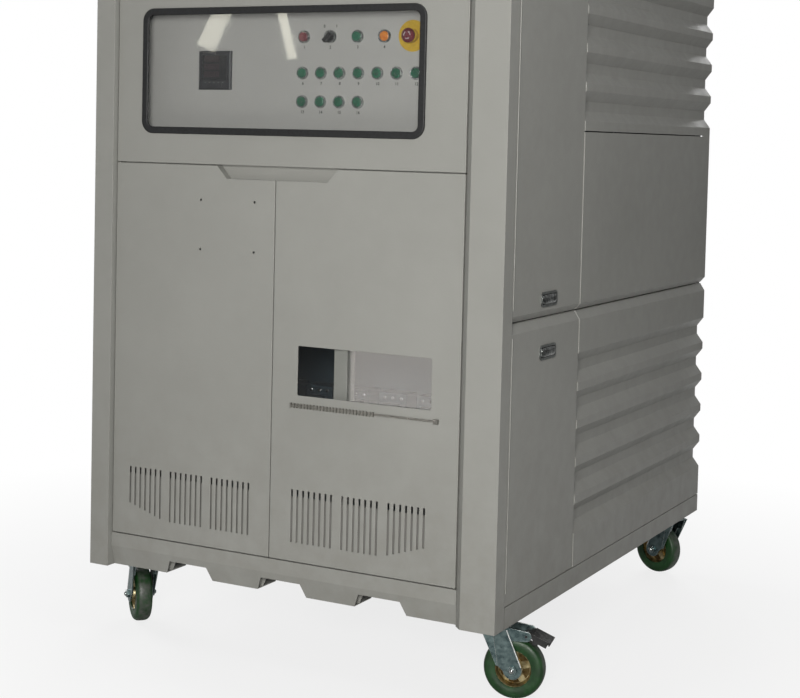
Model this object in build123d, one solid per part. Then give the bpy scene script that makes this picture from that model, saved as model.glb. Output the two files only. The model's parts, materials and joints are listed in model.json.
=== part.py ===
from build123d import *
import math
import os

# Generator load bank: a steel cabinet on four swivel casters. Two axial fans blow air across
# the cabinet through racks of tubular resistors, with the corrugated side doors open.
# Millimetres. +Z is up, the front faces -Y, and the origin is on the floor under the centre.

# ---- Cabinet ---------------------------------------------------------------------------------
body_width = 1150.0
body_depth = 1480.0
body_height = 1600.0
caster_height = 190.0            # floor to the underside of the cabinet
sheet = 2.5                      # folded steel sheet
frame_wall = 3.0                 # wall of the hollow corner posts and rails
base_rail_height = 50.0
base_rail_width = 60.0
roof_rim = 25.0                  # height of the roof's turned-down edge
roof_chamfer = 6.0
left_post_width = 56.0
right_post_flat = 88.0
post_bevel = 18.0                # bevelled inner edge of the front right post
post_depth = 52.0
rear_post_size = 56.0
rail_size = 36.0                 # square top rails and the mullion
seam_gap = 3.0                   # gap round each front door
split_gap = 3.0                  # gap between an upper and a lower side door
rear_panel_recess = 4.0          # rear cover behind the rear faces of the posts
rear_vent_margin = 220.0
rear_vent_pitch = 37.4
rear_vent_count = 10             # slots on each side of the middle one
side_gap = 2.0                   # gap round each side door
cut_margin = 1.0                 # how far a cutting tool passes the face that it cuts

# ---- Front doors -----------------------------------------------------------------------------
door_recess = 16.0               # front face of the doors behind the face of the posts
door_depth = 22.0                # depth of each folded door
frame_gap = 2.0                  # back of the doors to the rails behind them
front_pivot_inset = 5.0          # pivots from the edge and the face of a front door
front_seam_x = -40.0             # seam between the two lower doors
front_door_bottom = 88.0         # level above the underside of the cabinet
header_height = 90.0             # top of the control door below the top of the body
control_door_height = 470.0
pull_top_width = 344.0           # trapezoid finger pull across the tops of both lower doors
pull_bottom_width = 288.0
pull_height = 31.0
plate_hole_dia = 6.0             # four holes for an accessory plate on the left door
plate_hole_dx = 158.0
plate_hole_dz = 122.0
plate_hole_x = -179.0
plate_hole_drop = 147.0          # centre of the four holes below the top of the door
mullion_offset = 160.0           # mullion to the right of the seam

# ---- Door vents ------------------------------------------------------------------------------
vent_slot_width = 5.5
vent_slot_length = 129.0
vent_slot_pitch = 15.6
vent_group_gap = 31.0            # centre to centre across the gap between two groups
vent_group_counts = (8, 7, 7)    # slots of each group, from the seam outwards
vent_edge_margin = 63.0          # centre of the innermost slot from the seam
vent_bottom = 134.0
vent_corner_rise = 5.0           # each slot of the outer group starts this much higher

# ---- Control window, instrument panel --------------------------------------------------------
window_left_margin = 80.0        # window from the left opening's edge
window_right_margin = 109.0
window_top_drop = 86.0           # window below the top of the control door
window_height = 311.0
window_radius = 32.0
gasket_width = 17.0
gasket_proud = 6.0
gasket_neck = 4.0
gasket_round = 2.5
pane_thickness = 4.0
pane_clearance = 0.2
panel_setback = 80.0             # instrument panel behind the face of the posts
panel_margin = 20.0
panel_flange = 25.0              # depth of the panel's folded edges
panel_tab = 30.0                 # width of the tabs that hold the panel to the posts
meter_size = 96.0
meter_x = -262.0
meter_drop = 151.0               # meter and rows of devices below the top of the window
meter_proud = 9.0
meter_bevel = 3.0
meter_frame = 10.0               # bezel beside and above the display
meter_foot = 22.0                # bezel below the display, with the keys
meter_key_dia = 9.0
meter_key_pitch = 20.0
meter_case_inset = 2.5
meter_case_depth = 70.0
lamp_x = -8.0                    # first lamp of each row
lamp_pitch = 51.7
lamp_row_drops = (157.0, 226.0)
lamp_row_counts = (7, 4)
button_row_x = -5.0
button_row_drop = 70.0
button_pitch = 74.0
device_bezel_dia = 31.0          # front bezel of the 22 mm panel devices
device_bezel_depth = 6.0
device_hole_dia = 22.0
device_body_depth = 30.0
device_bore = 17.0               # bore of the bezels' threaded bodies
device_thread_gap = 0.2
lens_dia = 24.0
lens_height = 9.0
lens_round = 3.0
button_dia = 22.0
button_height = 11.0
button_travel = 4.0
stem_dia = 12.0
running_fit = 0.16               # diametral clearance of pins, stems and buttons
knob_height = 9.0
knob_grip_width = 9.0
knob_grip_height = 14.0
knob_nose = 5.0                  # how far the grip's pointer passes the knob
knob_turn = 45.0                 # resting angle of the grip
estop_ring_dia = 74.0
estop_ring_thickness = 2.5
estop_collar_height = 14.0
estop_head_dia = 34.0
estop_head_height = 11.5
estop_travel = 6.0
top_row_count = 5                # devices of the top row, from the left
red_index = 0
selector_index = 1
green_index = 2
amber_index = 3
estop_index = 4

# ---- Inspection window -----------------------------------------------------------------------
sight_left = 32.0
sight_width = 361.0
sight_bottom = 492.0
sight_height = 120.0
sight_radius = 4.0
sight_lap = 7.0                  # pane overlap behind the door skin
sight_pane = 3.0
track_drop = 30.0                # toothed track under the window
track_height = 11.0
track_proud = 5.0
track_overhang_left = 17.5
track_overhang_right = 21.0
track_tooth_pitch = 9.0
track_toothed_share = 0.6        # toothed part of the track's length
track_block = 12.0               # stop block at its right end

# ---- Side doors ------------------------------------------------------------------------------
side_split_level = 699.0         # bottom of the V groove between upper and lower doors
groove_depth = 14.0
upper_groove_rise = 16.0         # height of the groove's upper and lower slope
lower_groove_rise = 22.0
strip_width = 410.0              # flat front strip of each side door
lap_proud = 2.0                  # corrugated sheet in front of the flat strip
cover_top = 1141.0               # top of the flat cover on the upper doors
cover_gap = 3.0                  # gap between the cover and the corrugation above it
cover_slot_end = 60.0            # closed end of that gap at the rear
rib_pitch = 95.0
rib_depth = 19.0
valley_flat = 25.0
rib_slope = 25.0                 # height of each sloping face
lower_first_valley = 175.0       # centre of the lowest valley of a lower door
upper_first_valley = 1205.0
rib_top_margin = 18.0            # flat left between the last slope and the groove or the roof
pivot_pin_dia = 5.0
pivot_boss = 9.0
pivot_engagement = 12.0
pivot_wall = 2.0                 # boss left between a pivot bore and the door's rear edge
bracket_plate = 2.0              # plates that hold the pivot pins in the gaps

# ---- Slam latches ----------------------------------------------------------------------------
latch_length = 98.0
latch_height = 36.0
latch_corner = 12.0
latch_dish_depth = 14.0
latch_dish_wall = 1.5
latch_rim = 2.0
latch_lip = 4.0                  # rim's overlap on the door skin
latch_fit = 0.2                  # dish in its cutout
latch_setback = 213.0            # centre of each latch behind the front edge of its door
upper_latch_rise = 44.0          # centres of the latches above and below the split
lower_latch_drop = 82.0
paddle_thickness = 8.0
paddle_round = 5.0
paddle_edge = 1.0                # flat left on the paddle's rounded edge
paddle_pin_dia = 4.0
pin_land = 0.3                   # metal left beyond the ends of the paddle's pin
paddle_gap = 1.5
paddle_finger_gap = 16.0         # room for fingers behind the paddle's free end

# ---- Skirt -----------------------------------------------------------------------------------
skirt_break_level = 50.0
skirt_lean = 14.0                # how far the lower edge leans back
skirt_flange = 30.0
notch_height = 33.0
notch_top_width = 112.0
notch_bottom_width = 141.0
notch_pitch = 274.0
notch_centre_x = -9.0            # middle notch
notch_run = 120.0                # through the skirt and the channel behind it

# ---- Casters ---------------------------------------------------------------------------------
kingpin_inset_x = 59.0
kingpin_inset_front = 150.0
kingpin_inset_rear = 70.0
caster_trail = 43.0
wheel_dia = 146.0
tyre_width = 44.0
tyre_thickness = 25.0
tyre_shoulder = 9.0              # width of the rounded shoulder on each side of the tread
tyre_crown = 4.0
tyre_dish = 6.0                  # how far the bonded edge lies inside the sidewall
hub_boss_dia = 32.0
hub_boss_proud = 2.0
hub_web = 9.0
hub_rim_land = 5.0
hub_spokes = 5
spoke_angle = 26.0               # angle taken by each spoke at the rim
axle_dia = 12.0
axle_nut = 19.0
axle_nut_height = 8.0
axle_end = 3.0
leg_gap = 4.0                    # tyre to fork leg, each side
leg_thickness = 3.5
leg_half_width = 20.0
crown_half = 34.0                # half length of the fork's crown
cheek_reach = 74.0               # pedal pivot from the kingpin
cheek_drop = 17.0                # pedal pivot below the crown
cheek_radius = 12.0
mount_plate = 100.0
mount_plate_thickness = 6.0
mount_corner = 8.0
mount_hole_dia = 9.0
mount_hole_inset = 13.0
raceway_dia = 74.0
raceway_height = 12.0
raceway_taper = 6.0
swivel_gap = 0.5
kingpin_dia = 12.0
kingpin_head = 8.0
pedal_reach = 132.0              # tip of the brake pedal from the kingpin
pedal_half_width = 28.0
pedal_pin_dia = 6.0
pedal_sheet = 3.0
pedal_drop = 18.0                # how far the pedal slopes down to its tip
pedal_rise = 7.0                 # top of the pedal above its pivot
pedal_gap = 2.0                  # pedal to the cheeks
shoe_length = 9.0
shoe_drop = 19.5                 # foot of the brake shoe below the pivot
# name, side of the cabinet (x, y), heading of the trailing wheel in degrees
CASTERS = (
    ("front_right", 1, -1, 12.0),
    ("front_left", -1, -1, 138.0),
    ("rear_right", 1, 1, 162.0),
    ("rear_left", -1, 1, 168.0),
)

# ---- Fans and resistors ----------------------------------------------------------------------
partition_y = -230.0             # wall between the control bay and the air duct
fan_wall_x = -400.0
fan_dia = 560.0
fan_tip_gap = 6.0
fan_ring_depth = 90.0
fan_arm_width = 28.0
fan_arm_depth = 8.0
fan_hub_dia = 170.0
fan_hub_depth = 60.0
fan_hub_gap = 8.0                # fan hub behind the inlet side of its ring
fan_shaft_dia = 24.0
fan_shaft_seat = 20.0            # length of the shaft inside the motor
fan_blades = 6
blade_root = (74.0, 52.0, 9.0)   # chord, pitch in degrees and thickness of each section
blade_middle = (92.0, 64.0, 6.0)
blade_tip = (104.0, 72.0, 4.0)
fan_y = 230.0
motor_dia = 180.0
motor_length = 170.0
motor_rib_height = 8.0
motor_rib_groove = 10.0
motor_grooves = 12
motor_flange = 14.0
rack_x = (-150.0, 330.0)
rack_y = (-130.0, 600.0)
rack_plate = 4.0
rack_bar = 20.0
rack_foot = 60.0                 # height of the racks' feet
rack_top_gap = 90.0
tube_dia = 22.0
tube_overhang = 25.0
tube_columns = 3
tube_rows = 4
board_half_width = 330.0         # mounting plate of the contactors
board_bottom = 300.0
board_height = 420.0
board_standoff = 90.0
board_foot = 30.0
contactor_width = 80.0
contactor_pitch = 110.0
contactor_count = 5
contactor_height = 100.0
contactor_depth = 60.0
contactor_nose = 25.0
contactor_rows = (60.0, 260.0)
busbar_bottom = 800.0
busbar_pitch = 60.0
busbar_count = 3
busbar_height = 40.0
busbar_thickness = 8.0
busbar_half_length = 320.0
busbar_standoff = 130.0
busbar_post = 20.0
busbar_hole_dia = 11.0
busbar_hole_pitch = 100.0

# ---- Derived values --------------------------------------------------------------------------
half_width = body_width / 2
half_depth = body_depth / 2
opening_left = -half_width + left_post_width
opening_right = half_width - right_post_flat - post_bevel
door_face = -half_depth + door_recess
door_back = door_face + door_depth
post_back = -half_depth + post_depth
side_front = post_back + side_gap
side_inner = half_width - door_depth
rear_post_outer = side_inner - 2 * seam_gap
rear_post_front = half_depth - rear_post_size
roof_underside = body_height - roof_rim
rail_underside = roof_underside - rail_size
control_door_top = body_height - header_height
control_door_bottom = control_door_top - control_door_height
front_door_top = control_door_bottom - seam_gap
left_door_edge = opening_left + seam_gap
right_door_edge = opening_right - seam_gap
front_pivot_y = door_face + front_pivot_inset
strip_face = half_width - lap_proud
window_left = opening_left + window_left_margin
window_right = opening_right - window_right_margin
window_top = control_door_top - window_top_drop
window_bottom = window_top - window_height
panel_face = -half_depth + panel_setback
meter_level = window_top - meter_drop
button_row_level = window_top - button_row_drop
lamp_row_levels = [window_top - drop for drop in lamp_row_drops]
sight_right = sight_left + sight_width
sight_top = sight_bottom + sight_height
upper_latch_level = side_split_level + upper_latch_rise
lower_latch_level = side_split_level - lower_latch_drop
duct_floor = base_rail_height + sheet
bay_height = (rail_underside - duct_floor) / 2
fan_levels = (duct_floor + bay_height / 2, duct_floor + bay_height * 3 / 2)
rack_height = bay_height - rack_foot - rack_top_gap
side_pivot_x = half_width - groove_depth - pivot_wall - pivot_pin_dia / 2
side_pivot_y = half_depth - pivot_wall - pivot_pin_dia / 2
crown_level = caster_height - mount_plate_thickness - raceway_height
axle_level = wheel_dia / 2


def level(height):
    """Height above the floor of a level measured from the underside of the cabinet."""
    return caster_height + height


def block(x0, x1, y0, y1, z0, z1):
    """Axis-aligned block between two corners."""
    middle = Pos((x0 + x1) / 2, (y0 + y1) / 2, (z0 + z1) / 2)
    return middle * Box(abs(x1 - x0), abs(y1 - y0), abs(z1 - z0))


def prism(points, direction, length):
    """Closed outline of 3-D points pushed along a direction."""
    outline = make_face(Polyline(*points, close=True))
    return extrude(outline, amount=length, dir=direction)


def rod(centre, axis, diameter, length):
    """Cylinder that starts at a point and runs along an axis."""
    return extrude(Plane(origin=centre, z_dir=axis) * Circle(diameter / 2), amount=length)


def front_slab(x0, x1, z0, z1, radius, y0, y1):
    """Upright plate with rounded corners, parallel to the front."""
    plane = Plane(origin=((x0 + x1) / 2, y0, (z0 + z1) / 2), x_dir=(1, 0, 0), z_dir=(0, 1, 0))
    return extrude(plane * RectangleRounded(x1 - x0, z1 - z0, radius), amount=y1 - y0)


def side_slab(y0, y1, z0, z1, radius, x0, x1):
    """Upright plate with rounded corners, parallel to the right-hand side."""
    plane = Plane(origin=(x0, (y0 + y1) / 2, (z0 + z1) / 2), x_dir=(0, 1, 0), z_dir=(1, 0, 0))
    return extrude(plane * RectangleRounded(y1 - y0, z1 - z0, radius), amount=x1 - x0)


def turned(profile):
    """Solid of revolution about the Y axis from a profile of (radius, place along Y)."""
    return revolve(make_face(Polyline(*profile, close=True)), Axis.Y, 360)


def mirrored(shape):
    """The same piece on the other side of the cabinet."""
    return shape.mirror(Plane.YZ)


# ---- Cabinet frame, base and roof ------------------------------------------------------------
def hollow_post(outline, bottom, top):
    """Post folded from sheet: an outline in plan, hollow inside."""
    outer = make_face(Polyline(*outline, close=True))
    wall = outer - offset(outer, -frame_wall)
    return extrude(Pos(0, 0, bottom) * wall, amount=top - bottom)


def front_posts():
    """Front posts with faces proud of the doors; the right one has a bevelled inner edge."""
    front = -half_depth
    left = (
        (-half_width, front),
        (opening_left, front),
        (opening_left, post_back),
        (-half_width, post_back),
    )
    right = (
        (half_width, front),
        (opening_right + post_bevel, front),
        (opening_right, front + post_bevel),
        (opening_right, post_back),
        (half_width, post_back),
    )
    return [hollow_post(plan, level(0), level(roof_underside)) for plan in (left, right)]


def rear_posts():
    """Square rear posts behind the side doors, standing on the caster pads."""
    posts = []
    inner = rear_post_outer - rear_post_size
    for side in (-1, 1):
        plan = (
            (side * inner, rear_post_front),
            (side * rear_post_outer, rear_post_front),
            (side * rear_post_outer, half_depth),
            (side * inner, half_depth),
        )
        posts.append(hollow_post(plan, level(frame_wall), level(roof_underside)))
    return posts


def cabinet_frame():
    """Welded frame: corner posts, top rails, front header, door rail and inner mullion."""
    frame = Part() + front_posts() + rear_posts()
    top = level(roof_underside)
    rail_bottom = level(rail_underside)
    for side in (-1, 1):
        outer = side * rear_post_outer
        frame += block(outer - side * rail_size, outer, post_back - frame_wall, rear_post_front,
                       rail_bottom, top)
    frame += block(-rear_post_outer, rear_post_outer, rear_post_front,
                   rear_post_front + rail_size, rail_bottom, top)
    header = level(control_door_top) + seam_gap
    frame += block(opening_left, opening_right, door_face, door_face + sheet, header, top)
    frame += block(opening_left, opening_right, door_face, post_back, header, header + sheet)
    frame += block(opening_left, opening_right, door_face, post_back, rail_bottom, top)
    rail_y = door_back + frame_gap
    door_top = level(front_door_top)
    frame += block(opening_left, opening_right, rail_y, rail_y + sheet,
                   door_top - pull_height - rail_size / 2, door_top + rail_size / 2)
    mullion_x = front_seam_x + mullion_offset
    frame += block(mullion_x, mullion_x + rail_size, rail_y, rail_y + rail_size,
                   level(front_door_bottom) - seam_gap, door_top)
    return frame


def notch(centre_x):
    """Trapezoid lifting notch through the skirt, open below."""
    bottom = level(-cut_margin)
    top = level(notch_height)
    front = -half_depth
    points = (
        (centre_x - notch_bottom_width / 2, front, bottom),
        (centre_x + notch_bottom_width / 2, front, bottom),
        (centre_x + notch_top_width / 2, front, top),
        (centre_x - notch_top_width / 2, front, top),
    )
    return prism(points, (0, 1, 0), notch_run)


def skirt():
    """Front skirt: an upright strip under the doors that folds back to its lower edge."""
    strip_top = level(front_door_bottom) - seam_gap
    break_z = level(skirt_break_level)
    foot = door_face + skirt_lean
    profile = (
        (opening_left, door_face, strip_top),
        (opening_left, door_face, break_z),
        (opening_left, foot, level(0)),
        (opening_left, foot + skirt_flange, level(0)),
        (opening_left, foot + skirt_flange, level(sheet)),
        (opening_left, foot + sheet, level(sheet)),
        (opening_left, door_face + sheet, break_z),
        (opening_left, door_face + sheet, strip_top - sheet),
        (opening_left, post_back, strip_top - sheet),
        (opening_left, post_back, strip_top),
    )
    return prism(profile, (1, 0, 0), opening_right - opening_left)


def channel(x0, x1, y0, y1, open_side):
    """Base rail of C section, open towards the given X or Y direction."""
    low = level(0)
    high = level(base_rail_height)
    rail = block(x0, x1, y0, y1, low, high)
    dx, dy = open_side
    hollow = Pos(dx * frame_wall, dy * frame_wall, 0) * block(
        x0, x1, y0, y1, low + frame_wall, high - frame_wall)
    return rail - hollow


def caster_pads():
    """Flat pads under the base that carry the casters, the rear ones out to the rear face."""
    pads = []
    outer = half_width - frame_wall
    inner = half_width - kingpin_inset_x - mount_plate / 2 - frame_wall
    for inset, to_rear in ((kingpin_inset_front, False), (kingpin_inset_rear, True)):
        y = half_depth - inset
        y0 = y - mount_plate / 2 - frame_wall
        y1 = half_depth if to_rear else y + mount_plate / 2 + frame_wall
        pad = block(inner, outer, y0, y1, level(0), level(frame_wall))
        if not to_rear:
            pad = pad.mirror(Plane.XZ)
        pads += [pad, mirrored(pad)]
    return pads


def base_frame():
    """Base of folded channels with the front skirt, cross members and caster pads."""
    width = base_rail_width
    span = half_width - width
    rear_inner = rear_post_outer - rear_post_size
    base = Part() + skirt()
    base += channel(-span, span, post_back, post_back + width, (0, 1))
    for step in (-1, 0, 1):
        base -= notch(notch_centre_x + step * notch_pitch)
    for side in (-1, 1):
        outer = side * half_width
        inner = side * span
        base += channel(min(outer, inner), max(outer, inner), post_back, rear_post_front,
                        (-side, 0))
        base += block(side * side_inner, outer, rear_post_front, half_depth,
                      level(0), level(base_rail_height))
    base += channel(-span, span, rear_post_front - width, rear_post_front, (0, -1))
    base += channel(-rear_inner, rear_inner, rear_post_front - frame_wall, half_depth, (0, -1))
    return base + caster_pads()


def floor_pan():
    """Sheet floor that lies on the base rails between the posts."""
    side = half_width - post_depth
    floor = level(base_rail_height)
    return block(-side, side, side_front + seam_gap, rear_post_front - seam_gap,
                 floor, floor + sheet)


def roof_panel():
    """Roof tray with chamfered upper edges and a turned-down rim all round."""
    rim_bottom = level(roof_underside)
    top = level(body_height)
    outer = block(-half_width, half_width, -half_depth, half_depth, rim_bottom, top)
    outer = chamfer(outer.edges().group_by(Axis.Z)[-1], roof_chamfer)
    inner = block(-half_width + sheet, half_width - sheet, -half_depth + sheet, half_depth - sheet,
                  rim_bottom - cut_margin, top - sheet)
    inner = chamfer(inner.edges().group_by(Axis.Z)[-1], roof_chamfer)
    return outer - inner


def rear_panel():
    """Rear cover with two rows of vent slots and a folded rim, standing on the base rail."""
    side = rear_post_outer - rear_post_size
    bottom = level(base_rail_height)
    top = level(rail_underside) - seam_gap
    back = half_depth - rear_panel_recess
    front = back - door_depth
    panel = block(-side, side, front, back, bottom, top)
    panel -= block(-side + sheet, side - sheet, front - cut_margin, back - sheet,
                   bottom + sheet, top - sheet)
    for z in (bottom + rear_vent_margin, top - rear_vent_margin):
        for i in range(-rear_vent_count, rear_vent_count + 1):
            x = i * rear_vent_pitch
            panel -= block(x - vent_slot_width, x + vent_slot_width, back - sheet - cut_margin,
                           back + cut_margin, z - vent_slot_length / 2, z + vent_slot_length / 2)
    return panel


# ---- Front doors -----------------------------------------------------------------------------
def door_tray(x0, x1, bottom, top):
    """Folded door: a skin with four returns, open at the back."""
    outer = block(x0, x1, door_face, door_back, bottom, top)
    return outer - block(x0 + sheet, x1 - sheet, door_face + sheet, door_back + cut_margin,
                         bottom + sheet, top - sheet)


def pivot_boss_pair(x, y, bottom, top):
    """Bosses for the pivot pins in the top and bottom corner of a door."""
    half = pivot_boss / 2
    height = pivot_engagement + sheet
    return [block(x - half, x + half, y - half, y + half, z0, z1)
            for z0, z1 in ((bottom, bottom + height), (top - height, top))]


def pivot_bores(x, y, bottom, top):
    """Bores for the pivot pins in the two bosses of a door."""
    bore = pivot_pin_dia + running_fit
    depth = pivot_engagement + cut_margin
    return [rod((x, y, bottom - cut_margin), (0, 0, 1), bore, depth),
            rod((x, y, top + cut_margin), (0, 0, -1), bore, depth)]


def with_pivots(door, x, y, bottom, top):
    """Adds the bored bosses to a door."""
    for boss in pivot_boss_pair(x, y, bottom, top):
        door += boss
    for bore in pivot_bores(x, y, bottom, top):
        door -= bore
    return door


def pull_outline(grow, y):
    """Trapezoid of the finger pull, centred on the seam and grown by a wall."""
    top = level(front_door_top) + cut_margin
    bottom = level(front_door_top) - pull_height - grow
    half_top = pull_top_width / 2 + grow
    half_bottom = pull_bottom_width / 2 + grow
    return (
        (front_seam_x - half_top, y, top),
        (front_seam_x - half_bottom, y, bottom),
        (front_seam_x + half_bottom, y, bottom),
        (front_seam_x + half_top, y, top),
    )


def with_finger_pull(door, x0, x1):
    """Trapezoid notch through the top of a lower door, with a folded return along its edge."""
    top = level(front_door_top)
    limits = block(x0, x1, door_face, door_back, top - 2 * pull_height, top)
    door += prism(pull_outline(sheet, door_face), (0, 1, 0), door_depth).intersect(limits)
    return door - prism(pull_outline(0, door_face - cut_margin), (0, 1, 0),
                        door_depth + 2 * cut_margin)


def vent_slots(sign):
    """Centres and bottom levels of the vent slots, from the seam outwards."""
    x = front_seam_x + sign * vent_edge_margin
    last = len(vent_group_counts) - 1
    slots = []
    for group, count in enumerate(vent_group_counts):
        for i in range(count):
            rise = vent_corner_rise * (i + 1) if group == last else 0
            slots.append((x, level(vent_bottom) + rise))
            x += sign * vent_slot_pitch
        x += sign * (vent_group_gap - vent_slot_pitch)
    return slots


def with_vents(door, sign):
    """Cuts three groups of upright vent slots near the foot of a lower door."""
    top = level(vent_bottom + vent_slot_length)
    half = vent_slot_width / 2
    for x, bottom in vent_slots(sign):
        door -= block(x - half, x + half, door_face - cut_margin, door_face + sheet + cut_margin,
                      bottom, top)
    return door


def front_door(x0, x1, sign):
    """Lower front door on the given side of the seam, hinged at its outer edge."""
    bottom = level(front_door_bottom)
    top = level(front_door_top)
    door = with_finger_pull(door_tray(x0, x1, bottom, top), x0, x1)
    door = with_vents(door, sign)
    edge = x1 if sign > 0 else x0
    return with_pivots(door, edge - sign * front_pivot_inset, front_pivot_y, bottom, top)


def left_door():
    """Left lower door with vents and four small holes for an accessory plate."""
    door = front_door(left_door_edge, front_seam_x - seam_gap / 2, -1)
    middle = level(front_door_top - plate_hole_drop)
    for dx in (-1, 1):
        for dz in (-1, 1):
            centre = (plate_hole_x + dx * plate_hole_dx / 2, door_face - cut_margin,
                      middle + dz * plate_hole_dz / 2)
            door -= rod(centre, (0, 1, 0), plate_hole_dia, sheet + 2 * cut_margin)
    return door


def right_door():
    """Right lower door with vents and an inspection window."""
    door = front_door(front_seam_x + seam_gap / 2, right_door_edge, 1)
    return door - front_slab(sight_left, sight_right, level(sight_bottom), level(sight_top),
                             sight_radius, door_face - cut_margin, door_face + sheet + cut_margin)


def sight_glass():
    """Clear pane behind the opening of the right door."""
    y = door_face + sheet
    return front_slab(sight_left - sight_lap, sight_right + sight_lap,
                      level(sight_bottom) - sight_lap, level(sight_top) + sight_lap,
                      sight_radius + sight_lap, y, y + sight_pane)


def window_track():
    """Toothed bar under the inspection window with a plain end and a stop block."""
    x0 = sight_left - track_overhang_left
    x1 = sight_right + track_overhang_right
    z0 = level(sight_bottom - track_drop)
    z1 = z0 + track_height
    front = door_face - track_proud
    inset = track_height / 4
    bar = block(x0, x1, front + track_proud / 2, door_face, z0 + inset, z1 - inset)
    toothed = track_toothed_share * (x1 - x0)
    for i in range(int(toothed / track_tooth_pitch)):
        x = x0 + i * track_tooth_pitch
        bar += block(x, x + track_tooth_pitch / 2, front, door_face, z0, z1)
    return bar + block(x1 - track_block, x1, front - track_proud / 2, door_face, z0, z1)


def control_door():
    """Upper front door around the large control window."""
    bottom = level(control_door_bottom)
    top = level(control_door_top)
    door = door_tray(left_door_edge, right_door_edge, bottom, top)
    edge = gasket_width / 2
    door -= front_slab(window_left + edge, window_right - edge, level(window_bottom) + edge,
                       level(window_top) - edge, window_radius - edge,
                       door_face - cut_margin, door_face + sheet + cut_margin)
    return with_pivots(door, left_door_edge + front_pivot_inset, front_pivot_y, bottom, top)


def window_slab(inset, y0, y1):
    """Rounded slab inset from the outer edge of the control window's gasket."""
    return front_slab(window_left + inset, window_right - inset, level(window_bottom) + inset,
                      level(window_top) - inset, window_radius - inset, y0, y1)


def window_gasket():
    """Rubber extrusion: a face bead over the skin and a neck that holds the pane."""
    edge = gasket_width / 2
    bead = window_slab(0, door_face - gasket_proud, door_face)
    bead -= window_slab(gasket_width, door_face - gasket_proud - cut_margin,
                        door_face + cut_margin)
    bead = fillet(bead.edges().group_by(Axis.Y)[0], gasket_round)
    back = door_face + sheet + pane_thickness
    neck = window_slab(edge, door_face, back)
    return bead + (neck - window_slab(edge + gasket_neck, door_face - cut_margin,
                                      back + cut_margin))


def window_pane():
    """Clear pane inside the gasket's neck, against the back of its bead."""
    return window_slab(gasket_width / 2 + gasket_neck + pane_clearance,
                       door_face, door_face + pane_thickness)


# ---- Instrument panel ------------------------------------------------------------------------
def button_x(index):
    """Centre of a device in the top row of the panel."""
    return button_row_x + index * button_pitch


def lamp_centres():
    """Centres of the pilot lamps: the amber one in the top row and two rows of green ones."""
    centres = [(button_x(amber_index), level(button_row_level))]
    for count, height in zip(lamp_row_counts, lamp_row_levels):
        for i in range(count):
            centres.append((lamp_x + i * lamp_pitch, level(height)))
    return centres


def panel_tabs(x0, x1, bottom, top):
    """Angle tabs that carry the panel on the back faces of the front posts."""
    tabs = []
    for z0, z1 in ((bottom, bottom + panel_tab), (top - panel_tab, top)):
        for edge, outer, side in ((x0, opening_left, -1), (x1, opening_right, 1)):
            tip = outer + side * panel_tab
            tabs.append(block(min(edge, tip), max(edge, tip), post_back, post_back + sheet, z0, z1))
            inner = edge - side * sheet
            tabs.append(block(min(edge, inner), max(edge, inner), post_back,
                              panel_face + panel_flange, z0, z1))
    return tabs


def instrument_panel():
    """Fixed panel behind the window, folded at its edges, with holes for its devices."""
    x0 = opening_left + panel_margin
    x1 = opening_right - panel_margin
    bottom = level(front_door_top) + panel_margin
    top = level(control_door_top) - panel_margin
    back = panel_face + panel_flange
    panel = block(x0, x1, panel_face, back, bottom, top)
    panel -= block(x0 + sheet, x1 - sheet, panel_face + sheet, back + cut_margin,
                   bottom + sheet, top - sheet)
    panel += panel_tabs(x0, x1, bottom, top)
    buttons = [i for i in range(top_row_count) if i != amber_index]
    holes = lamp_centres() + [(button_x(i), level(button_row_level)) for i in buttons]
    for x, z in holes:
        panel -= rod((x, panel_face - cut_margin, z), (0, 1, 0), device_hole_dia,
                     sheet + 2 * cut_margin)
    half = meter_size / 2 - meter_case_inset
    z = level(meter_level)
    return panel - block(meter_x - half, meter_x + half, panel_face - cut_margin,
                         panel_face + sheet + cut_margin, z - half, z + half)


def digital_meter():
    """Square panel meter: bevelled bezel with a sunk display, four keys, and the case behind."""
    z = level(meter_level)
    half = meter_size / 2
    front = panel_face - meter_proud
    meter = block(meter_x - half, meter_x + half, front, panel_face, z - half, z + half)
    meter = chamfer(meter.edges().group_by(Axis.Y)[0], meter_bevel)
    meter -= block(meter_x - half + meter_frame, meter_x + half - meter_frame,
                   front - cut_margin, front + meter_proud / 3,
                   z - half + meter_foot, z + half - meter_frame)
    for i in range(-1, 2):
        key = (meter_x + i * meter_key_pitch, front - meter_proud / 6, z - half + meter_foot / 2)
        meter += rod(key, (0, 1, 0), meter_key_dia, meter_proud / 3)
    case = half - meter_case_inset - device_thread_gap
    return meter + block(meter_x - case, meter_x + case, panel_face,
                         panel_face + meter_case_depth, z - case, z + case)


def bezel(x, z, bore):
    """Metal bezel of one panel device, bevelled at its front, with its threaded body."""
    outer = device_bezel_dia / 2
    depth = device_bezel_depth
    ring = turned((
        (bore / 2, 0),
        (outer, 0),
        (outer, -depth / 2),
        (outer - depth / 3, -depth),
        (bore / 2, -depth),
    ))
    body = rod((0, 0, 0), (0, 1, 0), device_hole_dia - 2 * device_thread_gap, device_body_depth)
    body -= rod((0, -cut_margin, 0), (0, 1, 0), device_bore, device_body_depth + 2 * cut_margin)
    return Pos(x, panel_face, z) * (ring + body)


def lamp_bezels():
    """Chrome bezels of the lamps, of the two push buttons and of the selector."""
    rings = [bezel(x, z, lens_dia) for x, z in lamp_centres()]
    for i in (red_index, selector_index, green_index):
        rings.append(bezel(button_x(i), level(button_row_level), button_dia + 1))
    return rings


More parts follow.
